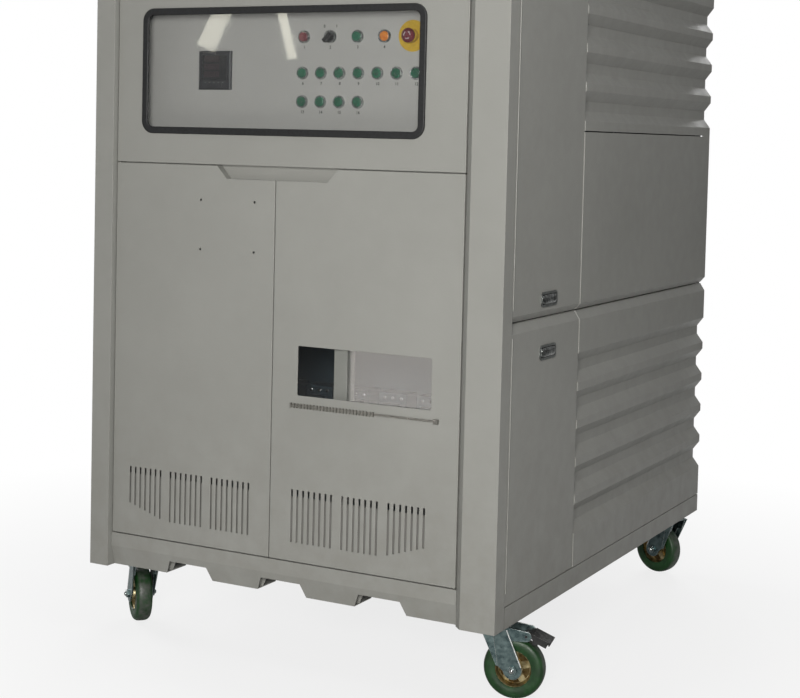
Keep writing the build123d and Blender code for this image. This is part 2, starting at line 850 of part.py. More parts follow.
def pilot_lamps():
    """Domed lenses of all lamps, seated in their bezels."""
    lenses = []
    for x, z in lamp_centres():
        face = panel_face - lens_height
        bead = rod((x, face, z), (0, 1, 0), lens_dia - 2 * device_thread_gap, lens_height)
        lenses.append(fillet(bead.edges().group_by(Axis.Y)[0], lens_round))
    return lenses


def push_button(index):
    """Round push button that travels into its bezel."""
    x = button_x(index)
    z = level(button_row_level)
    depth = button_height - button_travel - device_thread_gap
    cap = rod((x, panel_face - button_height, z), (0, 1, 0), button_dia, depth)
    cap = fillet(cap.edges().group_by(Axis.Y)[0], lens_round / 2)
    stem = rod((x, panel_face - button_travel - cut_margin, z), (0, 1, 0), stem_dia,
               device_body_depth / 2)
    return cap + stem


def selector_knob():
    """Rotary selector with a pointer grip, set to the lower left."""
    centre = Pos(button_x(selector_index), panel_face, level(button_row_level))
    knob = rod((0, -knob_height, 0), (0, 1, 0), button_dia, knob_height - device_thread_gap)
    half = knob_grip_width / 2
    grip = block(-half, half, -knob_grip_height - knob_height, -knob_height + cut_margin,
                 -button_dia / 2 - knob_nose, button_dia / 2)
    grip = fillet(grip.edges().group_by(Axis.Y)[0], knob_grip_width / 4)
    stem = rod((0, -cut_margin, 0), (0, 1, 0), stem_dia, device_body_depth / 2)
    return centre * (knob + Rot(0, knob_turn, 0) * grip + stem)


def estop_ring():
    """Yellow ring behind the emergency stop, with its collar and threaded body."""
    centre = Pos(button_x(estop_index), panel_face, level(button_row_level))
    plate = rod((0, -estop_ring_thickness, 0), (0, 1, 0), estop_ring_dia, estop_ring_thickness)
    collar = rod((0, -estop_collar_height, 0), (0, 1, 0), estop_head_dia - 2,
                 estop_collar_height - cut_margin)
    barrel = rod((0, -cut_margin, 0), (0, 1, 0), device_hole_dia - 2 * device_thread_gap,
                 device_body_depth)
    bore = rod((0, -estop_collar_height - cut_margin, 0), (0, 1, 0), stem_dia + running_fit,
               estop_collar_height + device_body_depth + 2 * cut_margin)
    return centre * (plate + collar + barrel - bore)


def estop_button():
    """Red mushroom head on its stem."""
    centre = Pos(button_x(estop_index), panel_face, level(button_row_level))
    base = -estop_collar_height - estop_travel - cut_margin
    radius = estop_head_dia / 2
    height = estop_head_height
    head = turned((
        (0, base),
        (radius - height / 4, base),
        (radius, base - height / 4),
        (radius, base - height / 2),
        (radius - height / 2.5, base - height * 0.9),
        (0, base - height),
    ))
    stem = rod((0, base - cut_margin, 0), (0, 1, 0), stem_dia,
               device_body_depth - base - estop_travel)
    return centre * (head + stem)



# ---- Side doors ------------------------------------------------------------------------------
def rib_folds(first_valley, top, inset):
    """Folds of the corrugation up to a level, as (setback, level), inset by a thickness."""
    shift = inset * math.tan(math.atan2(rib_depth, rib_slope) / 2)
    reach = valley_flat / 2 + rib_slope
    count = int((top - rib_top_margin - reach - first_valley) / rib_pitch) + 1
    folds = []
    for i in range(count):
        centre = first_valley + i * rib_pitch
        folds.append((inset, centre - reach - shift))
        folds.append((inset + rib_depth, centre - valley_flat / 2 - shift))
        folds.append((inset + rib_depth, centre + valley_flat / 2 + shift))
        folds.append((inset, centre + reach + shift))
    return folds


def edge_folds(rise, inset):
    """Upright edge, or one half of the V groove, as (setback, distance from the end)."""
    if not rise:
        return [(inset, inset)]
    bend = math.atan2(groove_depth, rise)
    foot = groove_depth * (1 - inset / rise) + inset / math.cos(bend)
    return [(foot, inset), (inset, rise + inset * math.tan(bend / 2))]


def side_shell(bottom, top, rises, folds, y0, y1, inset, proud):
    """Solid between a door's outline, inset by a thickness, and its back plane."""
    low = [(setback, bottom + step) for setback, step in edge_folds(rises[0], inset)]
    high = [(setback, top - step) for setback, step in edge_folds(rises[1], inset)]
    back = side_inner - (cut_margin if inset else 0)
    outline = low + folds + high[::-1]
    points = [(half_width - proud - setback, y0, level(z)) for setback, z in outline]
    points += [(back, y0, points[-1][2]), (back, y0, points[0][2])]
    return prism(points, (0, 1, 0), y1 - y0)


def side_door(bottom, top, rises, first_valley, latch_level):
    """Right-hand side door: a flat strip in front of a corrugated sheet that laps it."""
    y0 = side_front
    y1 = half_depth
    divide = y0 + strip_width
    top_fold = top - rises[1]
    door = side_shell(bottom, top, rises, [], y0, divide, 0, lap_proud)
    door += side_shell(bottom, top, rises, rib_folds(first_valley, top_fold, 0),
                       divide, y1, 0, 0)
    door -= side_shell(bottom, top, rises, [], y0 + sheet, divide - sheet, sheet, lap_proud)
    door -= side_shell(bottom, top, rises, rib_folds(first_valley, top_fold, sheet),
                       divide, y1 - sheet, sheet, 0)
    door -= latch_cutout(latch_level)
    return with_pivots(door, side_pivot_x, side_pivot_y, level(bottom), level(top))


def upper_side_door():
    """Upper door: a flat cover below, corrugated above, with a drip slot between them."""
    door = side_door(side_split_level + split_gap / 2, roof_underside - side_gap,
                     (upper_groove_rise, 0), upper_first_valley, upper_latch_level)
    return door - block(half_width - sheet - cut_margin, half_width + cut_margin,
                        side_front + strip_width, half_depth - cover_slot_end,
                        level(cover_top), level(cover_top) + cover_gap)


def lower_side_door():
    """Lower door, corrugated over its whole height."""
    return side_door(base_rail_height + side_gap, side_split_level - split_gap / 2,
                     (0, lower_groove_rise), lower_first_valley, lower_latch_level)


def latch_slab(latch_level, inset, x0, x1):
    """Rounded slab at a latch, inset from the outline of its rim."""
    y = side_front + latch_setback
    z = level(latch_level)
    half_length = latch_length / 2 - inset
    half_height = latch_height / 2 - inset
    return side_slab(y - half_length, y + half_length, z - half_height, z + half_height,
                     latch_corner - inset, x0, x1)


def latch_cutout(latch_level):
    """Opening in the door skin for the latch dish."""
    return latch_slab(latch_level, latch_lip, side_inner - cut_margin, half_width + cut_margin)


def paddle_pivot(latch_level):
    """Axis of a latch paddle, at its front end: (x, y, z of the latch)."""
    inset = latch_lip + latch_fit + latch_dish_wall + paddle_gap
    y = side_front + latch_setback - latch_length / 2 + inset + paddle_thickness / 2
    return strip_face + latch_rim, y, level(latch_level)


def latch_dish(latch_level):
    """Latch body: a rim on the skin and a pressed dish behind it, bored for the paddle."""
    rim = latch_slab(latch_level, 0, strip_face, strip_face + latch_rim)
    outer = latch_lip + latch_fit
    back = strip_face - latch_dish_depth
    dish = latch_slab(latch_level, outer, back, strip_face)
    pocket = latch_slab(latch_level, outer + latch_dish_wall, back + latch_dish_wall,
                        strip_face + latch_rim + cut_margin)
    x, y, z = paddle_pivot(latch_level)
    reach = latch_height / 2 - outer - pin_land
    bore = rod((x - latch_rim, y, z - reach), (0, 0, 1), paddle_pin_dia + running_fit, 2 * reach)
    return rim + dish - pocket - bore


def latch_paddle(latch_level):
    """Rounded paddle in the dish that swings out about a pin at its front end."""
    inset = latch_lip + latch_fit + latch_dish_wall
    x, y, z = paddle_pivot(latch_level)
    x -= latch_rim
    half_height = latch_height / 2 - inset - paddle_gap
    front = y - paddle_thickness / 2
    length = latch_length - 2 * inset - paddle_gap - paddle_finger_gap
    half = paddle_thickness / 2
    plate = side_slab(front, front + length, z - half_height, z + half_height, paddle_round,
                      x - half, x + half)
    plate = fillet(plate.edges().group_by(Axis.X)[-1], paddle_round - paddle_edge)
    pin = half_height + paddle_gap + latch_dish_wall - 2 * pin_land
    return plate + rod((x, y, z - pin), (0, 0, 1), paddle_pin_dia, 2 * pin)


def pivot_bracket(x0, x1, y0, y1, z):
    """Thin plate in the gap beside a door that carries its pivot pin."""
    return block(min(x0, x1), max(x0, x1), y0, y1, z - bracket_plate / 2, z + bracket_plate / 2)


def front_pivot_pins():
    """Pins of the three front doors, on the skirt, on gap plates and under the header."""
    left_x = left_door_edge + front_pivot_inset
    right_x = right_door_edge - front_pivot_inset
    reach = pivot_engagement - cut_margin
    bottom = level(front_door_bottom)
    middle = level(front_door_top) + seam_gap / 2
    top = level(control_door_top)
    pins = [rod((x, front_pivot_y, bottom - seam_gap), (0, 0, 1), pivot_pin_dia,
                seam_gap + reach) for x in (left_x, right_x)]
    half = pivot_boss / 2
    for x, above in ((left_x, reach + seam_gap / 2), (right_x, 0)):
        plate = pivot_bracket(x - half, x + half, front_pivot_y - half, door_back + frame_gap,
                              middle)
        below = reach + seam_gap / 2
        pin = rod((x, front_pivot_y, middle - below), (0, 0, 1), pivot_pin_dia, below + above)
        pins.append(plate + pin)
    pins.append(rod((left_x, front_pivot_y, top - reach), (0, 0, 1), pivot_pin_dia,
                    reach + seam_gap))
    return pins


def side_pivot_pins():
    """Pins of a side's two doors, on the base rail, on a gap plate and under a top plate."""
    x = side_pivot_x
    y = side_pivot_y
    reach = pivot_engagement - cut_margin
    half = pivot_pin_dia / 2
    base = level(base_rail_height)
    split = level(side_split_level)
    top = level(roof_underside)
    pins = [rod((x, y, base), (0, 0, 1), pivot_pin_dia, side_gap + reach)]
    length = 2 * reach + split_gap
    plate = pivot_bracket(rear_post_outer, x + half, y - pivot_boss, y + half, split)
    pins.append(plate + rod((x, y, split - length / 2), (0, 0, 1), pivot_pin_dia, length))
    plate = pivot_bracket(rear_post_outer - rail_size / 2, x + half, y - 2 * pivot_boss,
                          half_depth - sheet - cut_margin, top + bracket_plate / 2)
    pins.append(plate + rod((x, y, top), (0, 0, -1), pivot_pin_dia, side_gap + reach))
    return pins


def door_pivots():
    """Pivot pins of all seven doors with the plates that hold them."""
    right = side_pivot_pins()
    return front_pivot_pins() + right + [mirrored(pin) for pin in right]


# ---- Casters ---------------------------------------------------------------------------------
def caster_place(side_x, side_y, heading):
    """Position of a kingpin on the floor plane, turned to the wheel's heading."""
    inset = kingpin_inset_front if side_y < 0 else kingpin_inset_rear
    return Pos(side_x * (half_width - kingpin_inset_x), side_y * (half_depth - inset), 0) \
        * Rot(0, 0, heading)


def mount_plate_body():
    """Top plate with four bolt holes, the fixed raceway and the kingpin."""
    under = caster_height - mount_plate_thickness
    half = mount_plate / 2
    plate = block(-half, half, -half, half, under, caster_height)
    plate = fillet(plate.edges().filter_by(Axis.Z), mount_corner)
    at = half - mount_hole_inset
    for dx in (-at, at):
        for dy in (-at, at):
            plate -= rod((dx, dy, under - cut_margin), (0, 0, 1), mount_hole_dia,
                         mount_plate_thickness + 2 * cut_margin)
    cup = Pos(0, 0, under) * Cone(raceway_dia / 2 - raceway_taper, raceway_dia / 2,
                                  raceway_height / 2,
                                  align=(Align.CENTER, Align.CENTER, Align.MAX))
    stem = raceway_height + leg_thickness + swivel_gap
    pin = rod((0, 0, under - stem), (0, 0, 1), kingpin_dia, stem)
    head = rod((0, 0, under - stem - kingpin_head), (0, 0, 1), kingpin_dia + kingpin_head,
               kingpin_head)
    return plate + cup + pin + head


def mount_plates():
    """Top plates of the four casters."""
    plate = mount_plate_body()
    return [caster_place(side_x, side_y, 0) * plate for _, side_x, side_y, _ in CASTERS]


def fork_leg(y0):
    """Leg of a fork: a strap from the crown to the axle with a cheek for the pedal."""
    lean = math.atan2(caster_trail, crown_level - axle_level)
    across = leg_half_width / math.cos(lean)
    dx = leg_half_width * math.cos(lean)
    dz = leg_half_width * math.sin(lean)
    strap = ((-across, crown_level), (caster_trail - dx, axle_level - dz),
             (caster_trail + dx, axle_level + dz), (across, crown_level))
    pivot_z = crown_level - cheek_drop
    cheek = ((-crown_half, crown_level), (-across, crown_level - 2 * cheek_drop),
             (cheek_reach, pivot_z - cheek_radius), (cheek_reach, pivot_z + cheek_radius),
             (crown_half, crown_level))
    plane = Plane(origin=(0, y0 + leg_thickness, 0), x_dir=(1, 0, 0), z_dir=(0, -1, 0))
    outline = make_face(Polyline(*strap, close=True)) + make_face(Polyline(*cheek, close=True))
    outline += Pos(caster_trail, axle_level) * Circle(leg_half_width)
    outline += Pos(cheek_reach, pivot_z) * Circle(cheek_radius)
    return extrude(plane * outline, amount=leg_thickness)


def caster_fork(side_x, side_y, heading):
    """Pressed fork with its swivel race, and the axle bolt with its nuts."""
    inner = tyre_width / 2 + leg_gap
    outer = inner + leg_thickness
    fork = fork_leg(inner) + fork_leg(-outer)
    fork += block(-crown_half, crown_half, -outer, outer, crown_level - leg_thickness, crown_level)
    race = raceway_height / 2 - swivel_gap
    fork += rod((0, 0, crown_level - cut_margin), (0, 0, 1), raceway_dia, race + cut_margin)
    span = 2 * (outer + cut_margin)
    start = -outer - cut_margin
    fork -= rod((0, 0, crown_level - 2 * leg_thickness), (0, 0, 1), kingpin_dia + running_fit,
                raceway_height + 2 * leg_thickness)
    fork -= rod((caster_trail, start, axle_level), (0, 1, 0), axle_dia + running_fit, span)
    fork -= rod((cheek_reach, start, crown_level - cheek_drop), (0, 1, 0),
                pedal_pin_dia + running_fit, span)
    length = 2 * (outer + axle_nut_height + axle_end)
    axle = rod((caster_trail, -length / 2, axle_level), (0, 1, 0), axle_dia, length)
    for y in (-outer - axle_nut_height, outer):
        plane = Plane(origin=(caster_trail, y, axle_level), x_dir=(1, 0, 0), z_dir=(0, 1, 0))
        axle += extrude(plane * RegularPolygon(axle_nut / math.sqrt(3), 6),
                        amount=axle_nut_height)
    place = caster_place(side_x, side_y, heading)
    return [place * fork, place * axle]


def tyre_body():
    """Tread ring with rounded shoulders and a dished sidewall."""
    outer = wheel_dia / 2
    inner = outer - tyre_thickness
    half = tyre_width / 2
    side = [(inner, half - tyre_dish), (inner + tyre_crown, half - 1),
            (outer - tyre_shoulder, half), (outer - tyre_crown, half - tyre_crown / 2),
            (outer - tyre_crown / 4, half - tyre_shoulder / 2), (outer, half - tyre_shoulder)]
    return turned(side + [(radius, -y) for radius, y in reversed(side)])


def polar(radius, angle):
    """Point at a radius and an angle in degrees."""
    return radius * math.cos(math.radians(angle)), radius * math.sin(math.radians(angle))


def hub_body():
    """Cast hub: rim, web with windows between the spokes, and a bored boss."""
    rim = wheel_dia / 2 - tyre_thickness
    bore = (axle_dia + running_fit) / 2
    boss = hub_boss_dia / 2
    inside = rim - hub_rim_land
    end = tyre_width / 2 + hub_boss_proud
    land = tyre_width / 2 - tyre_dish
    side = [(bore, end), (boss, end), (boss + hub_boss_proud, hub_web / 2),
            (inside - hub_rim_land, hub_web / 2), (inside, land), (rim, land)]
    hub = turned(side + [(radius, -y) for radius, y in reversed(side)])
    inner = boss + hub_rim_land
    outer = inside - hub_rim_land - 1
    spread = 180 / hub_spokes - spoke_angle / 2
    window = make_face(Polyline(polar(inner, -spread / 2), polar(outer, -spread),
                                polar(outer + 1, 0), polar(outer, spread),
                                polar(inner, spread / 2), close=True))
    window = Rot(90, 0, 0) * extrude(window, amount=hub_web, both=True)
    for i in range(hub_spokes):
        hub -= Rot(0, 360 * (i + 0.25) / hub_spokes, 0) * window
    return hub


def wheel_place(side_x, side_y, heading):
    """Place of a wheel centre behind its kingpin."""
    return caster_place(side_x, side_y, heading) * Pos(caster_trail, 0, axle_level)


def pedal_plate(half):
    """Foot plate of the pedal, sloping to a turned-down tip, with its side flanges."""
    x0 = cheek_reach + cheek_radius + pedal_gap
    pivot_z = crown_level - cheek_drop
    top = pivot_z + pedal_rise
    tip = top - pedal_drop
    lip = 2 * pedal_sheet
    profile = (
        (x0, -half, top),
        (pedal_reach, -half, tip),
        (pedal_reach - pedal_sheet, -half, tip - lip),
        (pedal_reach - 2 * pedal_sheet, -half, tip - lip),
        (pedal_reach - 2 * pedal_sheet, -half, tip - pedal_sheet),
        (x0, -half, top - pedal_sheet),
    )
    plate = prism(profile, (0, 1, 0), 2 * half)
    for y in (-half, half - pedal_sheet):
        flange = (
            (x0, y, top - pedal_sheet / 2),
            (pedal_reach - lip, y, tip - pedal_sheet / 2),
            (pedal_reach - 2 * lip, y, tip - 2 * lip),
            (x0 + lip, y, pivot_z - cheek_radius),
            (x0, y, pivot_z - cheek_radius / 2),
        )
        plate += prism(flange, (0, 1, 0), pedal_sheet)
    return plate


def brake_pedal(side_x, side_y, heading):
    """Foot pedal: hinge ears between the cheeks, pivot pin, brake shoe and foot plate."""
    pivot_z = crown_level - cheek_drop
    inner = tyre_width / 2 + leg_gap - pedal_gap
    x0 = cheek_reach - cheek_radius / 2
    x1 = cheek_reach + cheek_radius + pedal_gap + pedal_sheet
    top = pivot_z + pedal_rise
    pedal = pedal_plate(pedal_half_width)
    pedal += block(x0, x1, -inner, inner, top - pedal_sheet, top)
    for y in (-inner, inner - pedal_sheet):
        pedal += block(x0, x1, y, y + pedal_sheet, pivot_z - cheek_radius / 2, top)
    pedal += block(x1 - pedal_sheet, x1 + shoe_length, -inner, inner,
                   pivot_z - shoe_drop, pivot_z)
    pin = tyre_width / 2 + leg_gap + leg_thickness + axle_end / 2
    pedal += rod((cheek_reach, -pin, pivot_z), (0, 1, 0), pedal_pin_dia, 2 * pin)
    return caster_place(side_x, side_y, heading) * pedal


# ---- Inside the cabinet ----------------------------------------------------------------------
def inner_walls():
    """Partition behind the control bay, fan wall with two round openings, and the deck."""
    floor = level(duct_floor)
    top = level(rail_underside)
    side = rear_post_outer - rail_size
    rear = rear_post_front - door_depth
    walls = block(-side, side, partition_y, partition_y + sheet, floor, top)
    walls += block(fan_wall_x, fan_wall_x + sheet, partition_y, rear, floor, top)
    for height in fan_levels:
        walls -= rod((fan_wall_x - cut_margin, fan_y, level(height)), (1, 0, 0), fan_dia,
                     sheet + 2 * cut_margin)
    deck = level(duct_floor + bay_height)
    return walls + block(fan_wall_x, side, partition_y, rear, deck, deck + sheet)


def fan_rings():
    """Rolled shroud of each fan with a cross of arms for the motor, bored for its shaft."""
    rings = []
    reach = fan_dia / 2 + sheet / 2
    half = fan_arm_width / 2
    x1 = fan_wall_x + sheet + fan_ring_depth
    x0 = x1 - fan_arm_depth
    for height in fan_levels:
        z = level(height)
        centre = (fan_wall_x + sheet, fan_y, z)
        ring = rod(centre, (1, 0, 0), fan_dia + 2 * sheet, fan_ring_depth)
        ring -= rod(centre, (1, 0, 0), fan_dia, fan_ring_depth + cut_margin)
        ring += block(x0, x1, fan_y - reach, fan_y + reach, z - half, z + half)
        ring += block(x0, x1, fan_y - half, fan_y + half, z - reach, z + reach)
        rings.append(ring - rod((x0 - cut_margin, fan_y, z), (1, 0, 0),
                                fan_shaft_dia + 2 * cut_margin, fan_arm_depth + 2 * cut_margin))
    return rings


def fan_motors():
    """Ribbed motor of each fan, on the far side of its arms, bored for the fan's shaft."""
    motors = []
    x = fan_wall_x + sheet + fan_ring_depth
    core = motor_dia / 2 - motor_rib_height
    half = motor_rib_groove / 2
    for height in fan_levels:
        motor = rod((x, 0, 0), (1, 0, 0), motor_dia, motor_length)
        for i in range(motor_grooves):
            groove = block(x + motor_flange, x + motor_length + cut_margin, -half, half,
                           core, motor_dia)
            motor -= Rot(360 * i / motor_grooves, 0, 0) * groove
        motor -= rod((x - cut_margin, 0, 0), (1, 0, 0), fan_shaft_dia + running_fit,
                     fan_shaft_seat + 2 * cut_margin)
        motors.append(Pos(0, fan_y, level(height)) * motor)
    return motors


def blade_section(x, radius, shape):
    """Elliptic section of a fan blade at a radius: chord, pitch in degrees and thickness."""
    chord, pitch, thickness = shape
    plane = Plane(origin=(x, 0, radius), x_dir=(1, 0, 0), z_dir=(0, 0, 1))
    return plane * (Rot(0, 0, pitch) * Ellipse(chord / 2, thickness / 2))


def fan_rotor(height):
    """Fan hub with twisted blades lofted from root to tip, on its shaft."""
    x0 = fan_wall_x + sheet + fan_hub_gap
    rotor = rod((x0, 0, 0), (1, 0, 0), fan_hub_dia, fan_hub_depth)
    rotor = fillet(rotor.edges().group_by(Axis.X)[0], fan_hub_gap)
    root = fan_hub_dia / 2 - fan_hub_gap
    tip = fan_dia / 2 - fan_tip_gap
    middle = x0 + fan_hub_depth / 2
    blade = loft([blade_section(middle, root, blade_root),
                  blade_section(middle, (root + tip) / 2, blade_middle),
                  blade_section(middle, tip, blade_tip)])
    for i in range(fan_blades):
        rotor += Rot(360 * i / fan_blades, 0, 0) * blade
    end = fan_wall_x + sheet + fan_ring_depth + fan_shaft_seat
    start = x0 + fan_hub_depth - cut_margin
    rotor += rod((start, 0, 0), (1, 0, 0), fan_shaft_dia, end - start)
    return Pos(0, fan_y, level(height)) * rotor


def rack_floor(bay):
    """Height of the surface that a resistor rack stands on."""
    return level(duct_floor + bay * (bay_height + sheet))


def tube_centres(bay):
    """Grid of tube centres in one rack."""
    low = rack_floor(bay) + rack_foot
    x0, x1 = rack_x
    step_x = (x1 - x0) / tube_columns
    step_z = rack_height / tube_rows
    return [(x0 + (i + 0.5) * step_x, low + (k + 0.5) * step_z)
            for i in range(tube_columns) for k in range(tube_rows)]


def resistor_racks():
    """Two end plates with feet and four tie bars for each bank of resistor tubes."""
    racks = []
    x0, x1 = rack_x
    y0, y1 = rack_y
    for bay in (0, 1):
        floor = rack_floor(bay)
        low = floor + rack_foot
        high = low + rack_height
        rack = Part()
        for y in (y0, y1 - rack_plate):
            rack += block(x0, x1, y, y + rack_plate, low, high)
        for x in (x0, x1 - rack_bar):
            for z in (low, high - rack_bar):
                rack += block(x, x + rack_bar, y0, y1, z, z + rack_bar)
            for y in (y0, y1 - rack_bar):
                rack += block(x, x + rack_bar, y, y + rack_bar, floor, low)
        for x, z in tube_centres(bay):
            rack -= rod((x, y0 - cut_margin, z), (0, 1, 0), tube_dia + running_fit,
                        y1 - y0 + 2 * cut_margin)
        racks.append(rack)
    return racks


def resistor_tubes():
    """Sheathed resistor tubes through the end plates of both racks."""
    y0, y1 = rack_y
    length = y1 - y0 + 2 * tube_overhang
    return [rod((x, y0 - tube_overhang, z), (0, 1, 0), tube_dia, length)
            for bay in (0, 1) for x, z in tube_centres(bay)]


def contactors():
    """Two rows of stepped contactors on a mounting plate in the control bay."""
    y = partition_y - board_standoff
    low = level(board_bottom)
    high = low + board_height
    half = board_half_width
    plate = block(-half, half, y, y + sheet, low, high)
    for x in (-half, half - board_foot):
        for z in (low, high - board_foot):
            plate += block(x, x + board_foot, y, partition_y, z, z + board_foot)
    units = []
    step = contactor_width / 6
    for row in contactor_rows:
        for i in range(contactor_count):
            x = (i - (contactor_count - 1) / 2) * contactor_pitch - contactor_width / 2
            z = low + row
            front = y - contactor_depth
            unit = block(x, x + contactor_width, front, y, z, z + contactor_height)
            units.append(unit + block(x + step, x + contactor_width - step,
                                      front - contactor_nose, front,
                                      z + contactor_nose, z + contactor_height - contactor_nose))
    return [plate] + units


def busbars():
    """Drilled copper bars on posts in front of the partition."""
    bars = []
    y = partition_y - busbar_standoff
    back = y + busbar_thickness
    for i in range(busbar_count):
        z = level(busbar_bottom + busbar_pitch * i)
        middle = z + busbar_height / 2
        bar = block(-busbar_half_length, busbar_half_length, y, back, z, z + busbar_height)
        for x in (-busbar_half_length, busbar_half_length - busbar_post):
            bar += block(x, x + busbar_post, back, partition_y,
                         middle - busbar_post / 2, middle + busbar_post / 2)
        for k in range(-2, 3):
            bar -= rod((k * busbar_hole_pitch, y - cut_margin, middle), (0, 1, 0),
                       busbar_hole_dia, busbar_thickness + 2 * cut_margin)
        bars.append(bar)
    return bars


# ---- Assembly --------------------------------------------------------------------------------
def cabinet_parts():
    """Frame, base, covers, front doors and everything inside the cabinet."""
    return {
        "cabinet_frame": cabinet_frame(),
        "base_frame": base_frame(),
        "floor_pan": floor_pan(),
        "roof_panel": roof_panel(),
        "rear_panel": rear_panel(),
        "control_door": control_door(),
        "window_gasket": window_gasket(),
        "window_pane": window_pane(),
        "left_door": left_door(),
        "right_door": right_door(),
        "sight_glass": sight_glass(),
        "window_track": window_track(),
        "door_pivots": door_pivots(),
        "inner_walls": inner_walls(),
        "fan_rings": fan_rings(),
        "fan_motors": fan_motors(),
        "lower_fan_rotor": fan_rotor(fan_levels[0]),
        "upper_fan_rotor": fan_rotor(fan_levels[1]),
        "resistor_racks": resistor_racks(),
        "resistor_tubes": resistor_tubes(),
        "contactors": contactors(),
        "busbars": busbars(),
    }


def panel_parts():
    """Instrument panel with its meter, lamps, buttons and selector."""
    return {
        "instrument_panel": instrument_panel(),
        "digital_meter": digital_meter(),
        "lamp_bezels": lamp_bezels(),
        "pilot_lamps": pilot_lamps(),
        "red_button": push_button(red_index),
        "green_button": push_button(green_index),
        "selector_knob": selector_knob(),
        "estop_ring": estop_ring(),
        "estop_button": estop_button(),
    }


def side_door_parts():
    """Both side doors of each side with their latches."""
    parts = {}
    doors = {"upper": (upper_side_door(), upper_latch_level),
             "lower": (lower_side_door(), lower_latch_level)}
    for which, (door, latch_level) in doors.items():
        pieces = {"door": door, "latch_dish": latch_dish(latch_level),
                  "latch_paddle": latch_paddle(latch_level)}
        for kind, shape in pieces.items():
            parts[f"right_{which}_{kind}"] = shape
            parts[f"left_{which}_{kind}"] = mirrored(shape)
    return parts


def caster_parts():
    """Mount plates, forks, tyres, hubs and pedals of the four casters."""
    parts = {"caster_plates": mount_plates()}
    tyre = tyre_body()
    hub = hub_body()
    for name, side_x, side_y, heading in CASTERS:
        parts[f"{name}_fork"] = caster_fork(side_x, side_y, heading)
        parts[f"{name}_tyre"] = wheel_place(side_x, side_y, heading) * tyre
        parts[f"{name}_hub"] = wheel_place(side_x, side_y, heading) * hub
        parts[f"{name}_pedal"] = brake_pedal(side_x, side_y, heading)
    return parts


def write_parts():
    """Writes one STEP file per sub-part."""
    os.makedirs("parts", exist_ok=True)
    parts = {**cabinet_parts(), **panel_parts(), **side_door_parts(), **caster_parts()}
    for name, shape in parts.items():
        solids = []
        for piece in shape if isinstance(shape, list) else [shape]:
            solids += piece.solids()
        whole = solids[0] if len(solids) == 1 else Compound(children=solids)
        export_step(whole, f"parts/{name}.step")


write_parts()
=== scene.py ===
import bpy
import bmesh
import json
import math
import numpy as np
from mathutils import Matrix, Vector


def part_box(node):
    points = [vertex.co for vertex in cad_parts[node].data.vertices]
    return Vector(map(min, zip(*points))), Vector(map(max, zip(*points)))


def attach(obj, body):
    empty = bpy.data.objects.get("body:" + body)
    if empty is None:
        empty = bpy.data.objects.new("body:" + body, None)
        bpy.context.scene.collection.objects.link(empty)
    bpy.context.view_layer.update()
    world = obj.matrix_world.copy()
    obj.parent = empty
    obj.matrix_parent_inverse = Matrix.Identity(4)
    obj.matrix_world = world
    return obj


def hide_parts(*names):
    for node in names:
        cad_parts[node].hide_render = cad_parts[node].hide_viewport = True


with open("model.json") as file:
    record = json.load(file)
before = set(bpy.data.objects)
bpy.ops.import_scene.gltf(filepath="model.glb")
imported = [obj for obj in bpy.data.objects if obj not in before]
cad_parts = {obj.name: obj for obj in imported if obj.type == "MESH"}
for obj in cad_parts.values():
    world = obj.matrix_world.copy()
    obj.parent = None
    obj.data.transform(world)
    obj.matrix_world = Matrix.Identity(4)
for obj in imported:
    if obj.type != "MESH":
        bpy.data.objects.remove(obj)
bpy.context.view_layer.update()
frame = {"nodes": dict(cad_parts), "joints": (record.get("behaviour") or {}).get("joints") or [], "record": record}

MM = 0.001
nodes = frame["nodes"]
record = frame["record"]
hinges = {joint["name"]: joint for joint in frame["joints"]}


# ---- Colours and shader nodes ----------------------------------------------------------------
def linear(text):
    """An sRGB hex colour as linear red, green, blue and an alpha of 1."""
    parts = [int(text[i:i + 2], 16) / 255 for i in (1, 3, 5)]
    return (*[p / 12.92 if p <= 0.04045 else ((p + 0.055) / 1.055) ** 2.4 for p in parts], 1.0)


def add(tree, kind, sockets=None, **settings):
    """Adds a node: settings are its properties, sockets hold values, hex colours or links."""
    made = tree.nodes.new(kind)
    for name, value in settings.items():
        setattr(made, name, value)
    for name, value in (sockets or {}).items():
        if isinstance(value, bpy.types.NodeSocket):
            tree.links.new(value, made.inputs[name])
        else:
            made.inputs[name].default_value = linear(value) if isinstance(value, str) else value
    return made


def finish(name, **values):
    """A new material; values go to the shader's own sockets, a hex text being a colour."""
    made = bpy.data.materials.new(name)
    made.use_nodes = True
    tree = made.node_tree
    shader = tree.nodes["Principled BSDF"]
    for socket, value in values.items():
        target = shader.inputs[socket.replace("_", " ").title().replace("Ior", "IOR")]
        target.default_value = linear(value) if isinstance(value, str) else value
    return made, tree, shader, add(tree, "ShaderNodeTexCoord").outputs["Object"]


def mottle(tree, where, lump, low, high, detail=4.0):
    """A cloudy value between low and high whose lumps measure lump millimetres."""
    cloud = add(tree, "ShaderNodeTexNoise", {"Vector": where, "Scale": 1 / (lump * MM),
                                             "Detail": detail, "Roughness": 0.6})
    return add(tree, "ShaderNodeMapRange", {"Value": cloud.outputs["Fac"], "From Min": 0.35,
                                            "From Max": 0.65, "To Min": low,
                                            "To Max": high}).outputs["Result"]


def clouded(tree, where, lump, first, second, detail=4.0):
    """Two colours, hex texts or links, that give way to each other in clouds."""
    return add(tree, "ShaderNodeMix", {0: mottle(tree, where, lump, 0.0, 1.0, detail), 6: first,
                                       7: second}, data_type="RGBA").outputs[2]


